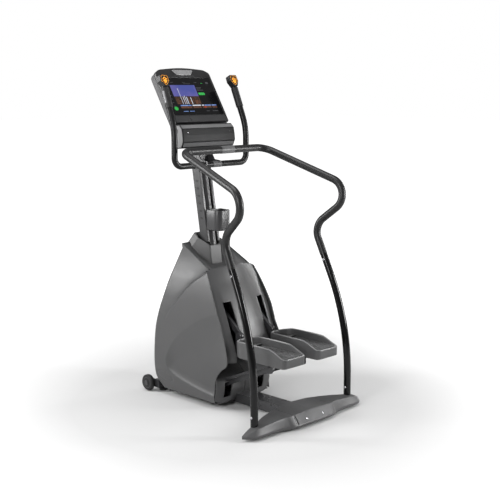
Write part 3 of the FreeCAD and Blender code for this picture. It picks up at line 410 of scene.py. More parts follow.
def rounded(corners, steps=6):
    """A closed outline from (u, v) or (u, v, radius) corners."""
    result = []
    for i, corner in enumerate(corners):
        here = Vector(corner[:2])
        radius = corner[2] if len(corner) > 2 else 0
        if radius == 0:
            result.append(here)
            continue
        back = (Vector(corners[i - 1][:2]) - here).normalized()
        ahead = (Vector(corners[(i + 1) % len(corners)][:2]) - here).normalized()
        half = back.angle(ahead) / 2
        centre = here + (back + ahead).normalized() * (radius / math.sin(half))
        start = here + back * (radius / math.tan(half)) - centre
        end = here + ahead * (radius / math.tan(half)) - centre
        total = start.angle_signed(end)
        for k in range(steps + 1):
            turn = Matrix.Rotation(-total * k / steps, 2)
            result.append(centre + turn @ start)
    return result


def rectangle(low_u, low_v, high_u, high_v, radius, steps):
    """The outline of a rectangle with rounded corners."""
    return rounded([(low_u, low_v, radius), (high_u, low_v, radius), (high_u, high_v, radius),
                    (low_u, high_v, radius)], steps)


def prism(name, outline, thickness, place, material, replaces=(), edge=0.0015,
          body="frame"):
    """A slab from an outline (u, v); place(u, v, w) puts its points, w from 0 to the thickness."""
    count = len(outline)
    points = [place(p[0], p[1], w) for w in (0, thickness) for p in outline]
    faces = [list(range(count)), list(range(count, 2 * count))]
    faces += [(i, (i + 1) % count, count + (i + 1) % count, count + i) for i in range(count)]
    slab = piece(name, points, faces, material, replaces, 35, body)
    if edge:
        bevel(slab, edge, 3, 40)
    return slab


def even_loop(outline, count):
    """The same closed outline as evenly spaced points, starting straight above its middle."""
    pts = [Vector(p[:2]) for p in outline]
    middle_u = (min(p.x for p in pts) + max(p.x for p in pts)) / 2
    top, start = -1e9, 0
    for i, (a, b) in enumerate(zip(pts, pts[1:] + pts[:1])):
        if (a.x - middle_u) * (b.x - middle_u) <= 0 and a.x != b.x and max(a.y, b.y) > top:
            top, start = max(a.y, b.y), i
    a, b = pts[start], pts[(start + 1) % len(pts)]
    first = a.lerp(b, (middle_u - a.x) / (b.x - a.x))
    pts = [first] + pts[start + 1:] + pts[:start + 1]
    lengths = [0.0]
    for a, b in zip(pts, pts[1:] + pts[:1]):
        lengths.append(lengths[-1] + (b - a).length)
    us = [p.x for p in pts] + [pts[0].x]
    vs = [p.y for p in pts] + [pts[0].y]
    where = np.linspace(0, lengths[-1], count, endpoint=False)
    return list(zip(np.interp(where, lengths, us), np.interp(where, lengths, vs)))


def inset(loop, distance):
    """A dense closed loop moved inwards."""
    pts = [Vector(p[:2]) for p in loop]
    area = sum(a.cross(b) for a, b in zip(pts, pts[1:] + pts[:1]))
    sign = 1 if area > 0 else -1
    result = []
    for i, p in enumerate(pts):
        along = pts[(i + 1) % len(pts)] - pts[i - 1]
        normal = Vector((-along.y, along.x)).normalized() * sign
        result.append(p + normal * distance)
    return result


def loft(name, loops, material, replaces=(), smooth=40, body="frame", caps=True):
    """Quads between closed loops of equal length, with the two ends closed if caps."""
    count = len(loops[0])
    points = [p for loop in loops for p in loop]
    faces = []
    for i in range(len(loops) - 1):
        for j in range(count):
            k = (j + 1) % count
            faces.append((i * count + j, i * count + k, (i + 1) * count + k, (i + 1) * count + j))
    if caps:
        last = (len(loops) - 1) * count
        faces += [list(range(count)), list(range(last, last + count))]
    return piece(name, points, faces, material, replaces, smooth, body)


def axes_round(axis):
    """An axis as a unit vector, and two more at right angles to it."""
    axis = Vector(axis).normalized()
    side = axis.orthogonal().normalized()
    return axis, side, axis.cross(side)


def lathe(name, outline, centre, axis, material, replaces=(), body="frame",
          segments=64):
    """A turned piece: (radius, height) points round an axis."""
    axis, side, other = axes_round(axis)
    loops = []
    for radius, height in outline:
        loops.append([centre + axis * height
                      + (side * math.cos(a) + other * math.sin(a)) * max(radius, 1e-4)
                      for a in (2 * math.pi * k / segments for k in range(segments))])
    return loft(name, loops, material, replaces, 30, body)


BOLT_OUTLINE = [(1, 0, False), (1, 0.45, False), (0.93, 0.72, False), (0.75, 0.93, False),
                (0.58, 1, False), (0.50, 1, True), (0.50, 0.35, True), (0, 0.30, False)]


def bolt(name, centre, axis, radius, height):
    """A domed socket-head bolt; its outline says where the ring is the six-sided socket."""
    axis, side, other = axes_round(axis)
    segments = 48
    loops = []
    for ring, rise, six_sided in BOLT_OUTLINE:
        loop = []
        for k in range(segments):
            angle = 2 * math.pi * k / segments
            from_flat = (angle % (math.pi / 3)) - math.pi / 6
            reach = max(ring * radius, 0.0001)
            if six_sided:
                reach *= math.cos(math.pi / 6) / math.cos(from_flat)
            loop.append(centre + axis * rise * height
                        + (side * math.cos(angle) + other * math.sin(angle)) * reach)
        loops.append(loop)
    return loft(name, loops, STEEL, smooth=35)


def join(name, objects):
    """Several pieces as one, under a new name."""
    bpy.ops.object.select_all(action="DESELECT")
    for obj in objects:
        obj.select_set(True)
    bpy.context.view_layer.objects.active = objects[0]
    bpy.ops.object.join()
    objects[0].name = name


# ---- shroud, top and rear

def ridge_z(y):
    """Height of the side panels' top edge."""
    return CORNER_TOP + (y - RIDGE_START) * RIDGE_SLOPE


def rear_face_y(x, z):
    """Rear panel: bowed towards the user in the middle, set in beside the side panels."""
    across = abs(x) / 0.17
    bow = 0.024 * (1 - min(across, 1.2) ** 2)
    tuck = 0.012 * float(smoothstep(0.80, 1.10, across)) * float(1 - smoothstep(0.60, 0.70, z))
    lean = 0.006 * float(smoothstep(0.60, 0.74, z))
    return float(shroud_rear(min(z, CORNER_TOP))) - bow + tuck + lean * across


def undertrays():
    """Floor return and inner side wall of the lower cover, beside the main beam, in near-black
    rubber as painted shade for the cavity there.
    """
    rear, front, low = 0.437, 0.800, 0.034
    inner, outer, wall = 0.056, 0.198, 0.002
    for sign, side in SIDES:
        # The near-black tyre rubber on these pieces is painted shade for the dark cavity.
        prism(f"{side}_lower_block_floor", rectangle(inner, rear, outer, front, 0.004, 3), 0.003,
              lambda u, v, w, s=sign: at(s * u, v, low + w), TYRE,
              edge=0.0008)
        prism(f"{side}_lower_block_wall",
              rectangle(rear + 0.013, low + 0.002, front, low + 0.030, 0.003, 3), wall,
              lambda u, v, w, s=sign: at(s * (outer - wall + w), u, v), TYRE,
              edge=0.0005)


def front_seam():
    """Dark strip behind the joint between the two side panels."""
    levels = np.linspace(0.050, APEX_TOP - 0.007, 80)
    behind, half_width = 0.0048, 0.008
    points = [at(x, float(shroud_front(z)) - behind, z)
              for z in levels for x in (-half_width, half_width)]
    strip = piece("shroud_seam", points, grid_faces(len(levels), 2), TYRE)
    thicken(strip, 0.001)


def half_width_at(y, z):
    """Half width of the shroud's side at one point, as a plain number."""
    return float(shroud_half(np.array([y]), np.array([z]))[0])


def rear_panel():
    """The shroud's rear face, with a slot for each pedal arm."""
    bottom, slot_top = 0.268, 0.574
    levels = list(np.linspace(bottom, CORNER_TOP, 90))
    edges = [half_width_at(float(shroud_rear(z)) + 0.001, z) - 0.0025 for z in levels]
    cut_row = min(range(len(levels)), key=lambda i: abs(levels[i] - slot_top))
    levels[cut_row] = slot_top
    inner = list(np.linspace(0.0004, SLOT_LOW, 14)) + list(np.linspace(SLOT_LOW, SLOT_HIGH, 8))[1:]
    first, last = 13, 20
    points = []
    for z, edge in zip(levels, edges):
        xs = inner + list(SLOT_HIGH + (edge - SLOT_HIGH) * np.linspace(0, 1, 10)[1:])
        arch = CROWN * float(smoothstep(0.66, CORNER_TOP, z))
        row = [(x, rear_face_y(x, z), z + arch * (1 - min(x / 0.168, 1) ** 2)) for x in xs]
        points += [at(-x, y, h) for x, y, h in reversed(row)] + [at(*p) for p in row]
    half_count = len(inner) + 9

    def keep(i, j):
        offset = j - half_count if j >= half_count else half_count - 2 - j
        return not (i < cut_row and first <= offset < last)

    panel = piece("shroud_rear_panel", points, grid_faces(len(levels), 2 * half_count, keep),
                  SHROUD, smooth=28)
    thicken(panel, 0.006)
    bevel(panel, 0.0012, 2, 50)


def valley():
    """Recess between the ridges of the side panels, round the collar."""
    rows = []
    columns = np.concatenate([[-1, -0.97], np.linspace(-0.93, 0.93, 33), [0.97, 1]])
    for step, drop in ((0.0, 0.0), (0.005, 0.001), (0.010, 0.012), (0.013, 0.034)):
        row = []
        for c in columns:
            x = 0.1665 * c
            z = CORNER_TOP + CROWN * (1 - c * c) - drop * (1 if abs(c) < 0.95 else 0.2)
            row.append(at(x, rear_face_y(x, CORNER_TOP) + 0.001 + step, z))
        rows.append(row)
    for y in np.linspace(0.545, RIDGE_END, 26):
        top = ridge_z(y) - 0.002
        half = half_width_at(y, top) - 0.0035
        depth = 0.040 * float(1 - smoothstep(0.66, RIDGE_END, y)) + 0.0015
        row = []
        for c in columns:
            wall = float(smoothstep(0.35, 1.0, abs(c))) ** 1.3
            row.append(at(half * c, y, top - depth * (1 - wall)))
        rows.append(row)
    points = [p for row in rows for p in row]
    sheet = piece("shroud_top_valley", points, grid_faces(len(rows), len(columns)), SHROUD,
                  smooth=35)
    thicken(sheet, 0.003)


def collar():
    """Collar round the foot of the mast: flared cheeks below a hollow, sloping top rim."""
    def ring(rear, rear_corner, cheek, front):
        half = [(0.0, *rear[1:]), rear, rear_corner, cheek, front, (0.0, *front[1:])]
        loop = half + [(-x, y, z) for x, y, z in reversed(half[1:-1])]
        return [at(*p) for p in loop]
    loops = [
        ring((0.037, 0.630, 0.700), (0.041, 0.632, 0.703), (0.106, 0.738, 0.782),
             (0.092, 0.788, 0.788)),
        ring((0.037, 0.630, 0.734), (0.042, 0.634, 0.740), (0.106, 0.739, 0.812),
             (0.092, 0.784, 0.834)),
        ring((0.038, 0.646, 0.840), (0.042, 0.652, 0.846), (0.070, 0.708, 0.879),
             (0.060, 0.750, 0.903)),
        ring((0.036, 0.650, 0.843), (0.040, 0.656, 0.849), (0.066, 0.709, 0.881),
             (0.057, 0.747, 0.905)),
        ring((0.034, 0.656, 0.840), (0.037, 0.660, 0.845), (0.060, 0.708, 0.874),
             (0.052, 0.740, 0.896)),
        ring((0.032, 0.658, 0.812), (0.035, 0.661, 0.816), (0.056, 0.707, 0.845),
             (0.048, 0.734, 0.860)),
    ]
    shape = loft("mast_collar", loops, SHROUD, ["shroud_neck"],
                 caps=False, smooth=20)
    bevel(shape, 0.0018, 3, 15)


def lower_block():
    """Cover over the foot of the drive frame, below the pedals, with two arm slots."""
    outline = [(0.440, 0.024), (0.433, 0.034), (0.430, 0.058), (0.421, 0.100), (0.418, 0.150),
               (0.420, 0.163), (0.427, 0.173), (0.437, 0.182), (0.470, 0.210), (0.520, 0.250)]
    line = curve_through([(a, b, 0) for a, b in outline], 5)
    half_width, slot_bottom, slot_top = 0.203, 0.056, 0.142
    xs = [0.0015] + list(np.linspace(0.0015, SLOT_LOW, 12))[1:]
    xs += list(np.linspace(SLOT_LOW, SLOT_HIGH, 6))[1:]
    xs += list(np.linspace(SLOT_HIGH, half_width, 7))[1:]
    first, last = 11, 16
    low_row = min(range(len(line)), key=lambda i: abs(line[i].y - slot_bottom))
    high_row = min(range(len(line)), key=lambda i: abs(line[i].y - slot_top))

    def keep(i, j):
        return not (low_row <= i < high_row and first <= j < last)
    for sign, side in SIDES:
        points = []
        for p in line:
            low_corner = 0.036 * max(0.0, (0.050 - p.y) / 0.026)
            for x in xs:
                wide = min(x, half_width - low_corner) if x > SLOT_HIGH else x
                points.append(at(sign * wide, p.x + 0.010 * (x / half_width) ** 4, p.y))
        block = piece(f"{side}_lower_block", points, grid_faces(len(line), len(xs), keep), SHROUD,
                      [f"{side}_lower_cover"], smooth=30)
        thicken(block, 0.004)
        bevel(block, 0.001, 2, 50)


# ---- pedals

PEDAL_WIDE, PEDAL_LONG = 0.160, 0.380
PEDAL_FLOOR = 0.3705
pedal_rim = profile([(-0.01, 0.3695), (0.0, 0.3695), (0.022, 0.373), (0.055, 0.386),
                     (0.092, 0.401), (0.130, 0.4075), (0.300, 0.4075), (0.345, 0.403),
                     (0.380, 0.398), (0.390, 0.397)])
pedal_under = profile([(-0.01, 0.3220), (0.040, 0.3185), (0.200, 0.3185), (0.380, 0.3205),
                       (0.390, 0.3205)])


def pedal_shell(side, centre_x, rear):
    """The pedal's body, lofted from its underside over its rim and down to its floor, with a
    painted highlight on the rim's top faces.
    """
    half = PEDAL_WIDE / 2
    plan = rounded([(half, 0, 0.022), (half, PEDAL_LONG, 0.0775), (-half, PEDAL_LONG, 0.0775),
                    (-half, 0, 0.022)], 14)
    loop = even_loop(plan, 168)

    def ring(distance, height):
        return [Vector((centre_x + u, rear + v, height(v))) for u, v in inset(loop, distance)]

    def above(curve, lift):
        return lambda v: float(curve(v)) + lift
    loops = [ring(distance, above(pedal_under, lift)) for distance, lift in
             ((0.0085, 0.020), (0.0070, 0.001), (0.0045, 0.0), (0.0025, 0.0006), (0.0012, 0.004))]
    loops += [ring(distance, above(pedal_rim, lift)) for distance, lift in
              ((0.0004, -0.0060), (0.0010, -0.0028), (0.0026, -0.0008), (0.0050, 0.0),
               (0.0078, -0.0006), (0.0092, -0.0026))]
    loops.append(ring(0.0102, lambda v: max(float(pedal_rim(v)) - 0.0070, PEDAL_FLOOR - 0.0040)))
    loops += [ring(distance, lambda v, h=PEDAL_FLOOR - drop: h) for distance, drop in
              ((0.0120, 0.0100), (0.0170, 0.0100), (0.0176, 0.0008), (0.0188, 0.0))]
    shell = loft(f"{side}_pedal_shell", loops, PEDAL,
                 [f"{side}_pedal"], 35, f"{side}_pedal")
    # The rim's upward faces take the lighter rim material: a painted highlight.
    shell.data.materials.append(RIM_PAINTED_HIGHLIGHT)
    for face in shell.data.polygons:
        crown = float(pedal_rim(face.center.y - rear)) - 0.0024
        if face.center.z > crown and abs(face.normal.z) > 0.3:
            face.material_index = 1


def pedal(side):
    """A pedal: a tray with a raised rim, a step for the toe and ribs bent into chevrons."""
    low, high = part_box(f"{side}_pedal")
    centre_x, rear = (low.x + high.x) / 2, low.y
    pedal_shell(side, centre_x, rear)

    def on_floor(name, outline, thickness, place, edge):
        return prism(name, outline, thickness, place, PEDAL, (), edge,
                     f"{side}_pedal")
    tread = []
    for index in range(13):
        v = 0.036 + index * 0.0185
        reach = 0.046 if index % 2 else 0.036
        rib = on_floor(f"{side}_pedal_rib{index}",
                       rectangle(-reach, -0.0042, reach, 0.0042, 0.004, 4), 0.0022,
                       lambda a, b, w, v=v: Vector((centre_x + a, rear + v + b + 0.10 * abs(a),
                                                    PEDAL_FLOOR - 0.0003 + w)), 0.0007)
        bend_prism(rib, centre_x)
        tread.append(rib)
    tread.append(on_floor(f"{side}_toe_step", rectangle(-0.052, -0.004, 0.052, 0.004, 0.0035, 4),
                          0.011,
                          lambda a, b, w: Vector((centre_x + a * (1 - w),
                                                  rear + 0.292 + b * 2.2 - w * 0.4,
                                                  PEDAL_FLOOR - 0.0005 + w)), 0.002))
    for part in tread:
        apply_modifiers(part)
    join(f"{side}_pedal_tread", tread)


def apply_modifiers(obj):
    """Turn a piece's modifiers into mesh, so that it can be joined."""
    bpy.context.view_layer.objects.active = obj
    for modifier in list(obj.modifiers):
        bpy.ops.object.modifier_apply(modifier=modifier.name)


def bend_prism(obj, middle_x):
    """Give a straight rib a corner in its middle, so that it bends there as a chevron."""
    work = bmesh.new()
    work.from_mesh(obj.data)
    geometry = work.verts[:] + work.edges[:] + work.faces[:]
    bmesh.ops.bisect_plane(work, geom=geometry, plane_co=(middle_x, 0, 0), plane_no=(1, 0, 0))
    low = min(v.co.y for v in work.verts if abs(v.co.x - middle_x) > 0.002)
    for v in work.verts:
        if abs(v.co.x - middle_x) < 1e-5 and v.co.y > low + 0.004:
            v.co.y = low + 0.0084
    work.to_mesh(obj.data)
    work.free()


# ---- rear floor covers

cover_front = profile([(0.0, 0.108), (0.100, 0.096), (0.150, 0.082), (0.250, 0.055),
                       (0.330, 0.022), (0.400, 0.006), (0.438, 0.002)])
cover_rear_top = profile([(0.0, -0.060), (0.137, -0.060), (0.200, -0.050), (0.300, -0.045),
                          (0.380, -0.040), (0.420, -0.020), (0.438, -0.003)])
cover_rear_low = profile([(0.0, -0.089), (0.137, -0.087), (0.180, -0.072), (0.240, -0.060),
                          (0.380, -0.056), (0.420, -0.030), (0.438, -0.006)])
COVER_BOTTOM = 0.0125
cover_top = profile([(0.0, 0.0795), (0.137, 0.0775), (0.240, 0.0715), (0.360, 0.0600),
                     (0.410, 0.0450), (0.438, 0.0280)])


def cover_section(x, lift=0.0):
    """Closed cross-section of the floor covers at a distance from the middle."""
    front, rear_top = float(cover_front(x)), float(cover_rear_top(x))
    rear_low, top = float(cover_rear_low(x)), float(cover_top(x)) + lift
    corners = [(front, COVER_BOTTOM, 0.001), (front, (COVER_BOTTOM + top) / 2, 0.004),
               (front - 0.075 * (front - rear_top), top, 0.008), (rear_top, top - 0.002, 0.007),
               (rear_low, COVER_BOTTOM + 0.014, 0.006), (rear_low + 0.004, COVER_BOTTOM, 0.002)]
    size = min(1.0, max(0.05, (front - rear_low) / 0.11)) * 0.9
    return even_loop(rounded([(y, z, radius * size) for y, z, radius in corners], 5), 72)


def floor_covers():
    """Left and right covers over the rear cross tube, and the centre one with its plate."""
    def cover(name, start, end, section, replaced):
        loops = [[at(x, y, z) for y, z in section(x)] for x in np.linspace(start, end, 60)]
        loft(name, loops, COVER, replaced, smooth=32)
    for sign, side in SIDES:
        cover(f"{side}_floor_cover", sign * 0.1385, sign * 0.4375,
              lambda x: cover_section(abs(x)), [f"{side}_rear_cover"])
    proud = 0.0005
    cover("centre_floor_cover", -0.1365, 0.1365,
          lambda x: [(y - proud, z) for y, z in cover_section(abs(x), proud)],
          ["rear_cover_centre"])

    foot = at(0, -0.0895, 0.030)
    rise = at(0, -0.0615, 0.0735) - foot
    height = rise.length
    upward = rise / height
    out = Vector((0, -upward.z, upward.y))
    plate = rounded([(-0.126, 0.0, 0.004), (0.126, 0.0, 0.004), (0.132, 1.0, 0.004),
                     (-0.132, 1.0, 0.004)], 4)
    outline = even_loop([(p[0], p[1] * height) for p in plate], 80)
    prism("floor_cover_plate", outline, 0.0035,
          lambda u, v, w: foot + Vector((u, 0, 0)) + upward * v + out * w, PLATE_DARK,
          edge=0.0012)
    for index, x in enumerate((-0.062, 0.062)):
        centre = foot + Vector((x, 0, 0)) + rise * 0.34 + out * 0.0032
        lathe(f"cover_screw_cup{index}", [(0.0075, 0), (0.0070, 0.0006), (0.0058, 0.0004),
                                          (0.0050, -0.0016), (0.0, -0.0018)],
              centre, out, TYRE)
        bolt(f"cover_screw{index}", centre - out * 0.0014, out, 0.0044, 0.0024)
    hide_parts("cover_screws")


# ---- wheels

def wheel(sign, side):
    """A transport wheel: its tyre, its hub and six ribs between them."""
    low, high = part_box(f"{side}_wheel")
    radius, width = (high.z - low.z) / 2, high.x - low.x
    outward = Vector((sign, 0, 0))
    inner = (low + high) / 2 - outward * width / 2
    tyre = [(0.019, 0.0002), (radius - 0.010, 0.0002), (radius - 0.004, 0.0015),
            (radius - 0.001, 0.0050), (radius, 0.0095), (radius, width - 0.0095),
            (radius - 0.001, width - 0.0050), (radius - 0.004, width - 0.0015),
            (radius - 0.010, width - 0.0002), (radius - 0.0130, width - 0.0004),
            (radius - 0.0138, width - 0.0016)]
    lathe(f"{side}_wheel_tyre", tyre, inner, outward, TYRE,
          [f"{side}_wheel"], f"{side}_wheel", 96)
    hub = [(radius - 0.0139, width - 0.0030), (radius - 0.0145, width - 0.0012),
           (radius - 0.0170, width - 0.0010), (radius - 0.0190, width - 0.0030),
           (0.0190, width - 0.0042), (0.0165, width - 0.0018), (0.0140, width - 0.0012),
           (0.0134, width - 0.0022), (0.0090, width - 0.0022)]
    lathe(f"{side}_wheel_hub", hub, inner, outward, FRAME, (), f"{side}_wheel",
          96)
    for index in range(6):
        angle = math.pi * index / 3
        spoke = Vector((0, math.cos(angle), math.sin(angle)))
        side_way = Vector((0, -math.sin(angle), math.cos(angle)))
        base = inner + outward * (width - 0.0042)
        outline = rounded([(0.0165, -0.0022, 0.001), (radius - 0.0178, -0.0030, 0.001),
                           (radius - 0.0178, 0.0030, 0.001), (0.0165, 0.0022, 0.001)], 3)
        prism(f"{side}_wheel_rib{index}", outline, 0.0022,
              lambda u, v, w, s=spoke, t=side_way, b=base: b + s * u + t * v + outward * w,
              FRAME, (), 0.0006, f"{side}_wheel")


# ---- console

CONSOLE_TILT = math.radians(58.35)
FACE_UP = Vector((0, math.cos(CONSOLE_TILT), math.sin(CONSOLE_TILT)))
FACE_OUT = Vector((0, -math.sin(CONSOLE_TILT), math.cos(CONSOLE_TILT)))
FACE_FOOT = at(0, 0.737, 1.501)
CONSOLE_HALF, CONSOLE_TALL = 0.196, 0.330
GLASS_TOP = max((v.co - FACE_FOOT).dot(FACE_OUT) for v in NODES["display_glass"].data.vertices)


def on_console(x, up, out):
    """A point on the console: across, up its face and out towards the user."""
    return FACE_FOOT + Vector((x, 0, 0)) + FACE_UP * up + FACE_OUT * out


def console_outline(margin, bottom=0.0):
    """The console's outline, moved in by a margin at its sides and its arched top."""
    half, tall = CONSOLE_HALF - margin, CONSOLE_TALL - margin
    return even_loop(rounded([(half, bottom, 0.006), (half, tall - 0.022, 0.020),
                              (half - 0.034, tall - 0.002, 0.060), (0, tall + 0.013, 0.9),
                              (-half + 0.034, tall - 0.002, 0.060), (-half, tall - 0.022, 0.020),
                              (-half, bottom, 0.006)], 10), 240)


def bezel():
    """Front frame of the console, from its outer edge round to the opening for the display.

    The outline and the opening both start straight above their middle, so that the loft isn't
    twisted.
    """
    half, low, high = 0.181, 0.047, 0.276
    lines = [(console_outline(margin), out) for margin, out in
             ((0.0022, -0.0180), (0.0006, -0.0168), (0.0, -0.0140), (0.0, -0.0040),
              (0.0008, -0.0010), (0.0030, 0.0))]
    for margin, out in ((0.0016, 0.0), (0.0003, -0.0008), (0.0, -0.0170)):
        wide, foot, top = half + margin, low - margin, high + margin
        opening = rounded([(wide, foot, 0.006), (wide, top, 0.006), (-wide, top, 0.006),
                           (-wide, foot, 0.006)], 6)
        lines.append((even_loop(opening, 240), out))
    loops = [[on_console(u, v, out) for u, v in line] for line, out in lines]
    loft("console_bezel", loops, CONSOLE, ["console_front_frame"], 30,
         caps=False)


def console():
    """Front frame, the panels and the plate on it, and the rear shell."""
    bezel()
    prism("console_lower_panel",
          rounded([(0.186, 0.004, 0.004), (0.181, 0.040, 0.003), (-0.181, 0.040, 0.003),
                   (-0.186, 0.004, 0.004)], 4), 0.0012, on_console, MAST,
          edge=0.0005)
    prism("console_top_plate",
          rounded([(0.050, 0.2925, 0.006), (0.080, 0.3245, 0.005), (-0.080, 0.3245, 0.005),
                   (-0.050, 0.2925, 0.006)], 6), 0.0026, on_console, PLATE,
          edge=0.0012)
    prism("console_top_strip",
          rounded([(0.070, 0.2845, 0.002), (0.076, 0.2900, 0.002), (-0.076, 0.2900, 0.002),
                   (-0.070, 0.2845, 0.002)], 4), 0.0014, on_console, MAST,
          edge=0.0006)
    loops = []
    for margin, out in ((0.0010, -0.0182), (0.0006, -0.0200), (0.0018, -0.0230),
                        (0.0018, -0.0420), (0.0040, -0.0520), (0.0100, -0.0590),
                        (0.0220, -0.0630)):
        line = console_outline(margin, -0.036 if out < -0.021 else 0.0)
        loops.append([on_console(u, v, max(out, -0.0640 + 0.0165 * max(v, 0))) for u, v in line])
    loft("console_back", loops, SHELL, ["console_rear_shell"], 32)


def tray():
    """Accessory tray: an open trough with a bevelled front edge, strips, ends and studs."""
    half = 0.190
    section = [(0.7140, 1.4920, 0.003), (0.6920, 1.4700, 0.012), (0.6850, 1.4360, 0.014),
               (0.6815, 1.4030, 0.014), (0.6970, 1.3685, 0.014), (0.7420, 1.3625, 0.012),
               (0.7675, 1.4000, 0.012), (0.7635, 1.4310, 0.010), (0.7290, 1.4540, 0.006),
               (0.7450, 1.4820, 0.003), (0.7420, 1.4900, 0.002)]
    loop = even_loop(rounded(section, 6), 150)
    ends = ((0.0, 0.0045), (0.0008, 0.0020), (0.0030, 0.0004), (0.0070, 0.0))
    stations = [(step - half, margin) for step, margin in ends]
    stations += [(half - step, margin) for step, margin in reversed(ends)]
    loft("tray_body", [[at(x, a, b) for a, b in inset(loop, margin)] for x, margin in stations],
         TRAY, ["accessory_tray"], 35)

    def strip(name, low, high, material):
        """A flat strip along the tray, between two points of its section."""
        start, way = at(0, *low), at(0, *high) - at(0, *low)
        reach, height = half - 0.004, way.length
        way.normalize()
        normal = Vector((0, -way.z, way.y))
        prism(name, rectangle(-reach, 0.0, reach, height, 0.002, 3), 0.0012,
              lambda u, v, w: start + Vector((u, 0, 0)) + way * v + normal * w, material,
              edge=0.0005)
    # The lip takes the lighter rim material: a painted highlight along the tray's top edge.
    strip("tray_lip", (0.6935, 1.4715), (0.7100, 1.4880), RIM_PAINTED_HIGHLIGHT)
    strip("tray_sill", (0.6942, 1.3748), (0.6850, 1.3952), SHELL)
    for sign, side in SIDES:
        prism(f"{side}_tray_end", inset(loop, 0.006), 0.0008,
              lambda u, v, w: at(sign * (half + w), u, v), SHELL, edge=0.0004)
    stud = [(0.0028, -0.0005), (0.0028, 0.0004), (0.0020, 0.0012), (0.0, 0.0014)]
    for index, (x, drop) in enumerate(((0.150, 0.012), (0.166, 0.020), (-0.150, 0.012),
                                       (-0.166, 0.020), (0.0, 0.030))):
        lathe(f"tray_stud{index}", stud, at(x, 0.6905 - drop * 0.12, 1.462 - drop), (0, -1, 0.2),
              STEEL, segments=24)


# ---- display picture

def glow(name, colour, strength, second, scale=20.0):
    """A lit area of the display, mottled with a second colour."""
    material, nodes, links, shader = new_material(f"display_{name}")
    coords = nodes.new("ShaderNodeTexCoord").outputs["Object"]
    mix = nodes.new("ShaderNodeMix")
    mix.data_type = "RGBA"
    mix.inputs["A"].default_value = (*colour, 1)
    mix.inputs["B"].default_value = (*second, 1)
    links.new(spread(nodes, links, noise(nodes, links, coords, scale), 0, 1, 0.35, 0.65),
              mix.inputs["Factor"])
    shader.inputs["Base Color"].default_value = (0, 0, 0, 1)
    shader.inputs["Roughness"].default_value = 0.15
    links.new(mix.outputs["Result"], shader.inputs["Emission Color"])
    shader.inputs["Emission Strength"].default_value = strength
    return material


def display():
    """A generic picture with towers at dusk, a row of thumbnails and a few plain buttons."""
    sky = glow("sky", (0.07, 0.09, 0.36), 0.9, (0.16, 0.14, 0.42), 9.0)
    ground = glow("ground", (0.02, 0.012, 0.008), 0.8, (0.10, 0.045, 0.02), 90.0)
    white = glow("white", (0.85, 0.88, 0.95), 0.9, (0.55, 0.62, 0.80))
    brown = glow("brown", (0.20, 0.075, 0.03), 0.8, (0.05, 0.03, 0.03), 120.0)
    blue = glow("blue", (0.05, 0.16, 0.60), 0.8, (0.30, 0.45, 0.85), 60.0)
    green = glow("green", (0.02, 0.42, 0.05), 0.9, (0.06, 0.55, 0.12), 60.0)
    grey = glow("grey", (0.06, 0.065, 0.07), 0.8, (0.10, 0.10, 0.11), 80.0)
    red = glow("red", (0.55, 0.04, 0.02), 0.8, (0.35, 0.10, 0.03), 80.0)
    shapes = []
    level = 0.00012                         # from one layer of tiles to the next

    def tile(material, x0, v0, x1, v1, lift=1, radius=0.0008):
        radius = min(radius, abs(x1 - x0) / 2.2, abs(v1 - v0) / 2.2)
        shapes.append(prism(f"tile{len(shapes)}", rectangle(x0, v0, x1, v1, radius, 3), 0.00008,
                            lambda u, v, w: on_console(u, v, GLASS_TOP + level * (lift + 1) + w),
                            material, edge=0))

    left, right, skyline = -0.131, 0.046, 0.112
    tile(sky, left, 0.150, right, 0.230, 0)
    tile(ground, left, skyline, right, 0.160)
    towers = [(-0.120, 0.004, 0.018, brown), (-0.110, 0.006, 0.030, brown),
              (-0.086, 0.0030, 0.098, white), (-0.070, 0.0045, 0.046, white),
              (-0.058, 0.0040, 0.052, white), (-0.046, 0.0050, 0.044, white),
              (-0.034, 0.0035, 0.050, brown), (-0.018, 0.0045, 0.040, white),
              (-0.006, 0.0030, 0.044, brown), (0.010, 0.0060, 0.024, brown),
              (0.026, 0.0040, 0.034, brown)]
    towers += [(x, 0.012, 0.022, brown) for x in (-0.10, -0.064, -0.028, 0.018, 0.036)]
    for x, wide, tall, material in towers:
        tile(material, x - wide / 2, skyline, x + wide / 2, skyline + tall, 2)
    for x0, x1, material in ((-0.112, -0.034, blue), (-0.026, 0.034, white), (0.042, 0.058, white),
                             (0.062, 0.108, blue), (0.114, 0.150, blue)):
        tile(material, x0, 0.1000, x1, 0.1065)
        tile(brown, x0, 0.0860, x1, 0.0990)
    tile(red, 0.056, 0.0880, 0.072, 0.0960, 2)
    tile(green, 0.052, 0.1665, 0.098, 0.1825, 1, 0.006)
    for v, width in ((0.2115, 0.038), (0.2040, 0.030), (0.1960, 0.046)):
        tile(grey, 0.051, v, 0.051 + width, v + 0.0035)
    tile(grey, -0.030, 0.2385, 0.020, 0.2410)
    tile(grey, 0.136, 0.2370, 0.154, 0.2490)
    tile(green, 0.098, 0.2400, 0.112, 0.2424)
    for x0, x1 in ((-0.105, -0.070), (-0.062, -0.028), (0.060, 0.084), (0.104, 0.146)):
        tile(blue if x0 < 0 else grey, x0, 0.0655, x1, 0.0690)
    disc = [(math.cos(a) * 0.0135 - 0.1490, math.sin(a) * 0.0115 + 0.0855)
            for a in (2 * math.pi * k / 40 for k in range(40))]
    shapes.append(prism("tile_disc", disc, 0.0001,
                        lambda u, v, w: on_console(u, v, GLASS_TOP + 4 * level + w), green,
                        edge=0))
    for index in range(5):
        v = 0.098 + 0.022 * index
        tile(grey, -0.160, v, -0.148, v + 0.004)
    for index in range(3):
        x = -0.120 + 0.085 * index
        tile(grey, x, 0.2450, x + 0.020, 0.2475)
    join("display_picture", shapes)


# ---- mast and cup holder

MAST_LEAN = math.tan(math.radians(9.65))


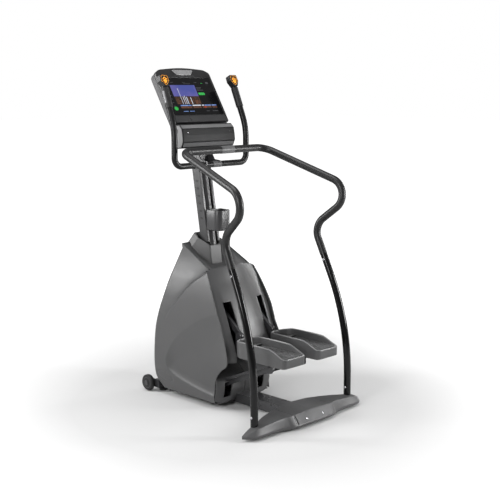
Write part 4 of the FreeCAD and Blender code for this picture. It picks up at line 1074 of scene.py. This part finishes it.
def mast_y(z):
    """The mast axis, forward of the uprights, at a height."""
    return 0.683 + MAST_LEAN * (z - 0.889)


def mast_plates():
    """A leaning plate on each side of the mast, with a row of black marks: painted shade for slots
    cut through it.
    """
    inner, rear, front = 0.028, 0.023, 0.037
    for sign, side in SIDES:
        low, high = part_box(f"{side}_mast_cover")
        thickness = high.x - low.x
        outline = rounded([(mast_y(low.z) - rear, low.z, 0.004),
                           (mast_y(low.z) + front, low.z, 0.004),
                           (mast_y(high.z) + front, high.z, 0.014),
                           (mast_y(high.z) - rear, high.z, 0.014)], 6)
        prism(f"{side}_mast_plate", outline, thickness,
              lambda u, v, w: at(sign * (inner + w), u, v), MAST,
              [f"{side}_mast_cover"], edge=0.0035)
        # Black marks just proud of the plate: painted shade standing in for the slots' openings.
        marks = []
        for z in (0.985 + index * 0.040 for index in range(6)):
            marks.append(prism(f"{side}_mark{len(marks)}",
                               rectangle(-0.011, -0.006, 0.011, 0.006, 0.005, 4), 0.0005,
                               lambda u, v, w: at(sign * (inner + thickness - 0.0002 + w),
                                                  mast_y(z + v) + 0.006 + u, z + v),
                               TYRE, edge=0))
        join(f"{side}_mast_slot_shade_marks", marks)


def cup_holder():
    """An open cup, flat against the mast and round towards the user, and its arm."""
    low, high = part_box("cup_holder")
    half = (high.x - low.x) / 2
    mast_rear = mast_y(0.925) - 0.029
    front = at(0, mast_rear, 0).y
    loop = even_loop(rounded([(-half, low.y, 0.036), (half, low.y, 0.036), (half, front, 0.004),
                              (-half, front, 0.004)], 12), 120)
    walls = [(0.006, low.z), (0.0025, low.z + 0.0008), (0.0008, low.z + 0.003),
             (0.0, low.z + 0.007), (0.0, high.z - 0.0035), (0.0006, high.z - 0.0012),
             (0.0018, high.z), (0.0032, high.z - 0.0003), (0.0040, high.z - 0.0025),
             (0.0044, low.z + 0.012), (0.0070, low.z + 0.007), (0.0120, low.z + 0.005)]
    loft("cup_holder_body", [[Vector((u, v, z)) for u, v in inset(loop, distance)]
                             for distance, z in walls],
         MAST, ["cup_holder"], 35)
    prism("cup_holder_arm", rectangle(-0.014, 0.962, 0.014, 0.995, 0.003, 4), 0.016,
          lambda u, v, w: at(u, mast_rear - 0.001 + w, v), FRAME)


# ---- switches, sleeves and bolts

def switch_pads():
    """Dark pad with a plain up and down arrow on each thumb switch, in a ring on its head."""
    tilt = math.radians(64)
    up = Vector((0, math.cos(tilt), math.sin(tilt)))
    out = Vector((0, -math.sin(tilt), math.cos(tilt)))
    pad = rounded([(0, -0.0215, 0.003), (0.0185, -0.002, 0.004), (0.0175, 0.0235, 0.004),
                   (-0.0175, 0.0235, 0.004), (-0.0185, -0.002, 0.004)], 5)
    outer, inner = (inset(even_loop(pad, 72), -gap) for gap in (0.0052, 0.0034))
    arrows = ([(0.0, 0.0212), (0.0148, 0.0090), (0.0148, 0.0020), (0.0, 0.0135),
               (-0.0148, 0.0020), (-0.0148, 0.0090)],
              [(0.0, -0.0178), (0.0140, -0.0040), (0.0122, -0.0008), (0.0, 0.0088),
               (-0.0122, -0.0008), (-0.0140, -0.0040)])
    for side in ("left", "right"):
        switch = f"{side}_thumb_switch"
        centre = at(middle(switch).x, 0.764, 1.716)

        def on_head(u, v, w):
            return centre + Vector((u, 0, 0)) + up * v + out * w
        prism(f"{side}_switch_pad", pad, 0.0050, lambda u, v, w: on_head(u, v, 0.0086 + w),
              CONSOLE, [switch], 0.0012, switch)
        loops = [[on_head(u, v, w) for u, v in line] for line, w in
                 ((outer, 0.0128), (outer, 0.0136), (inner, 0.0136), (inner, 0.0128))]
        loft(f"{side}_switch_line", loops, ORANGE, caps=False)
        join(f"{side}_switch_arrows",
             [prism(f"{side}_arrow{index}", arrow, 0.0006,
                    lambda u, v, w: on_head(u, v, 0.0134 + w), ORANGE, (), 0,
                    switch) for index, arrow in enumerate(arrows)])


def sleeves():
    """Plain bands where the two handrails meet and where the handlebar is clamped."""
    for name, node, start, end in (("handrail_sleeve", "left_handrail", -0.030, 0.062),
                                   ("handlebar_sleeve", "handlebar", 0.003, 0.063)):
        points = [v.co for v in NODES[node].data.vertices if v.co.z > 0.2]
        innermost = min(abs(p.x) for p in points)
        ys, zs = zip(*((p.y, p.z) for p in points if abs(p.x) < innermost + 0.002))
        radius = min(max(ys) - min(ys), max(zs) - min(zs)) / 2
        centre = Vector((start, (min(ys) + max(ys)) / 2, (min(zs) + max(zs)) / 2))
        length = end - start
        outline = [(radius + 0.0001, 0.0), (radius + 0.0007, 0.0004), (radius + 0.0010, 0.0014),
                   (radius + 0.0010, length - 0.0014), (radius + 0.0007, length - 0.0004),
                   (radius + 0.0001, length)]
        lathe(name, outline, centre, (1, 0, 0), SHELL)


def bolts():
    """Four bolts on each upright: a pair at its foot and a pair at the handrail's joint."""
    places = [(sign * x, y, z, way) for sign in (-1, 1)
              for x, y, z in ((0.355, 0.0, 0.104), (0.3435, 0.152, 0.779)) for way in (-1, 1)]
    for index, (x, y, z, way) in enumerate(places):
        bolt(f"upright_bolt{index}", at(x + way * 0.0190, y, z), (way, 0, 0), 0.0065, 0.0042)
    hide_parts("handrail_bolts")


for sign, side in SIDES:
    side_panel(sign, side)
    pedal(side)
    wheel(sign, side)
rear_panel()
front_seam()
valley()
collar()
lower_block()
undertrays()
floor_covers()
sleeves()
console()
tray()
display()
mast_plates()
cup_holder()
switch_pads()
bolts()


# ---- stage

def studio_floor():
    """A plain pale floor that fades to white away from the object, for the camera only."""
    size = 40.0
    mesh = bpy.data.meshes.new("floor")
    mesh.from_pydata([(-size, -size, 0), (size, -size, 0), (size, size, 0), (-size, size, 0)],
                     [], [(0, 1, 2, 3)])
    floor = bpy.data.objects.new("floor", mesh)
    bpy.context.scene.collection.objects.link(floor)
    material, nodes, links, shader = new_material("floor_paint")
    coords = nodes.new("ShaderNodeTexCoord").outputs["Object"]
    paint = spread(nodes, links, noise(nodes, links, coords, 0.6, 2.0), 0.61, 0.63)
    links.new(tinted(nodes, links, paint, (1, 1, 1)), shader.inputs["Base Color"])
    shader.inputs["Roughness"].default_value = 0.9
    shader.inputs["Specular IOR Level"].default_value = 0.1
    radius = nodes.new("ShaderNodeVectorMath")
    radius.operation = "LENGTH"
    links.new(coords, radius.inputs[0])
    fade = spread(nodes, links, radius.outputs["Value"], 0.0, 0.95, 0.9, 3.2)
    seen = nodes.new("ShaderNodeLightPath").outputs["Is Camera Ray"]
    shader.inputs["Emission Color"].default_value = (1, 1, 1, 1)
    links.new(combined(nodes, links, "MULTIPLY", fade, seen), shader.inputs["Emission Strength"])
    mesh.materials.append(material)


def studio_world():
    """A soft dome of light from above, and plain white behind the object."""
    world = bpy.data.worlds.new("studio")
    bpy.context.scene.world = world
    world.use_nodes = True
    nodes, links = world.node_tree.nodes, world.node_tree.links
    dome, backdrop = nodes["Background"], nodes.new("ShaderNodeBackground")
    split = nodes.new("ShaderNodeSeparateXYZ")
    links.new(nodes.new("ShaderNodeTexCoord").outputs["Generated"], split.inputs[0])
    links.new(spread(nodes, links, split.outputs["Z"], 0.16, 0.34, 0.0, 0.8),
              dome.inputs["Strength"])
    for background in (dome, backdrop):
        background.inputs["Color"].default_value = (1, 1, 1, 1)
    both = nodes.new("ShaderNodeMixShader")
    links.new(nodes.new("ShaderNodeLightPath").outputs["Is Camera Ray"], both.inputs["Fac"])
    links.new(dome.outputs["Background"], both.inputs[1])
    links.new(backdrop.outputs["Background"], both.inputs[2])
    links.new(both.outputs["Shader"], nodes["World Output"].inputs["Surface"])


def lamp(name, place, target, size, power):
    """A soft rectangular light, aimed at a point."""
    data = bpy.data.lights.new(name, "AREA")
    data.shape = "RECTANGLE"
    data.size, data.size_y = size
    data.energy = power
    light = bpy.data.objects.new(name, data)
    bpy.context.scene.collection.objects.link(light)
    light.location = place
    light.rotation_euler = (Vector(target) - Vector(place)).to_track_quat("-Z", "Y").to_euler()


def camera():
    """The camera, at the place worked out from the symmetric parts."""
    data = bpy.data.cameras.new("camera")
    data.lens = 71.9
    data.sensor_width = 36.0
    data.clip_end = 200
    view = bpy.data.objects.new("camera", data)
    bpy.context.scene.collection.objects.link(view)
    view.location = (-3.6765, -3.7214, 1.6904)
    view.rotation_euler = (math.radians(80.69), 0, math.radians(-45.27))
    bpy.context.scene.camera = view


studio_floor()
studio_world()
lamp("key_left", (-2.8, 2.7, 2.15), (0, 0.1, 0.9), (1.0, 2.2), 128)
lamp("fill_left", (-3.3, -0.9, 1.9), (0, 0, 0.8), (0.8, 1.6), 55)
lamp("right", (2.3, -2.9, 1.35), (0, 0, 0.5), (0.8, 1.4), 104)
lamp("edge_right", (3.5, -0.3, 1.3), (0, 0, 0.8), (0.5, 2.2), 40)
lamp("top", (-0.6, 0.2, 4.0), (0, 0, 0), (2.0, 2.0), 60)
camera()
bpy.context.scene.view_settings.view_transform = "Standard"
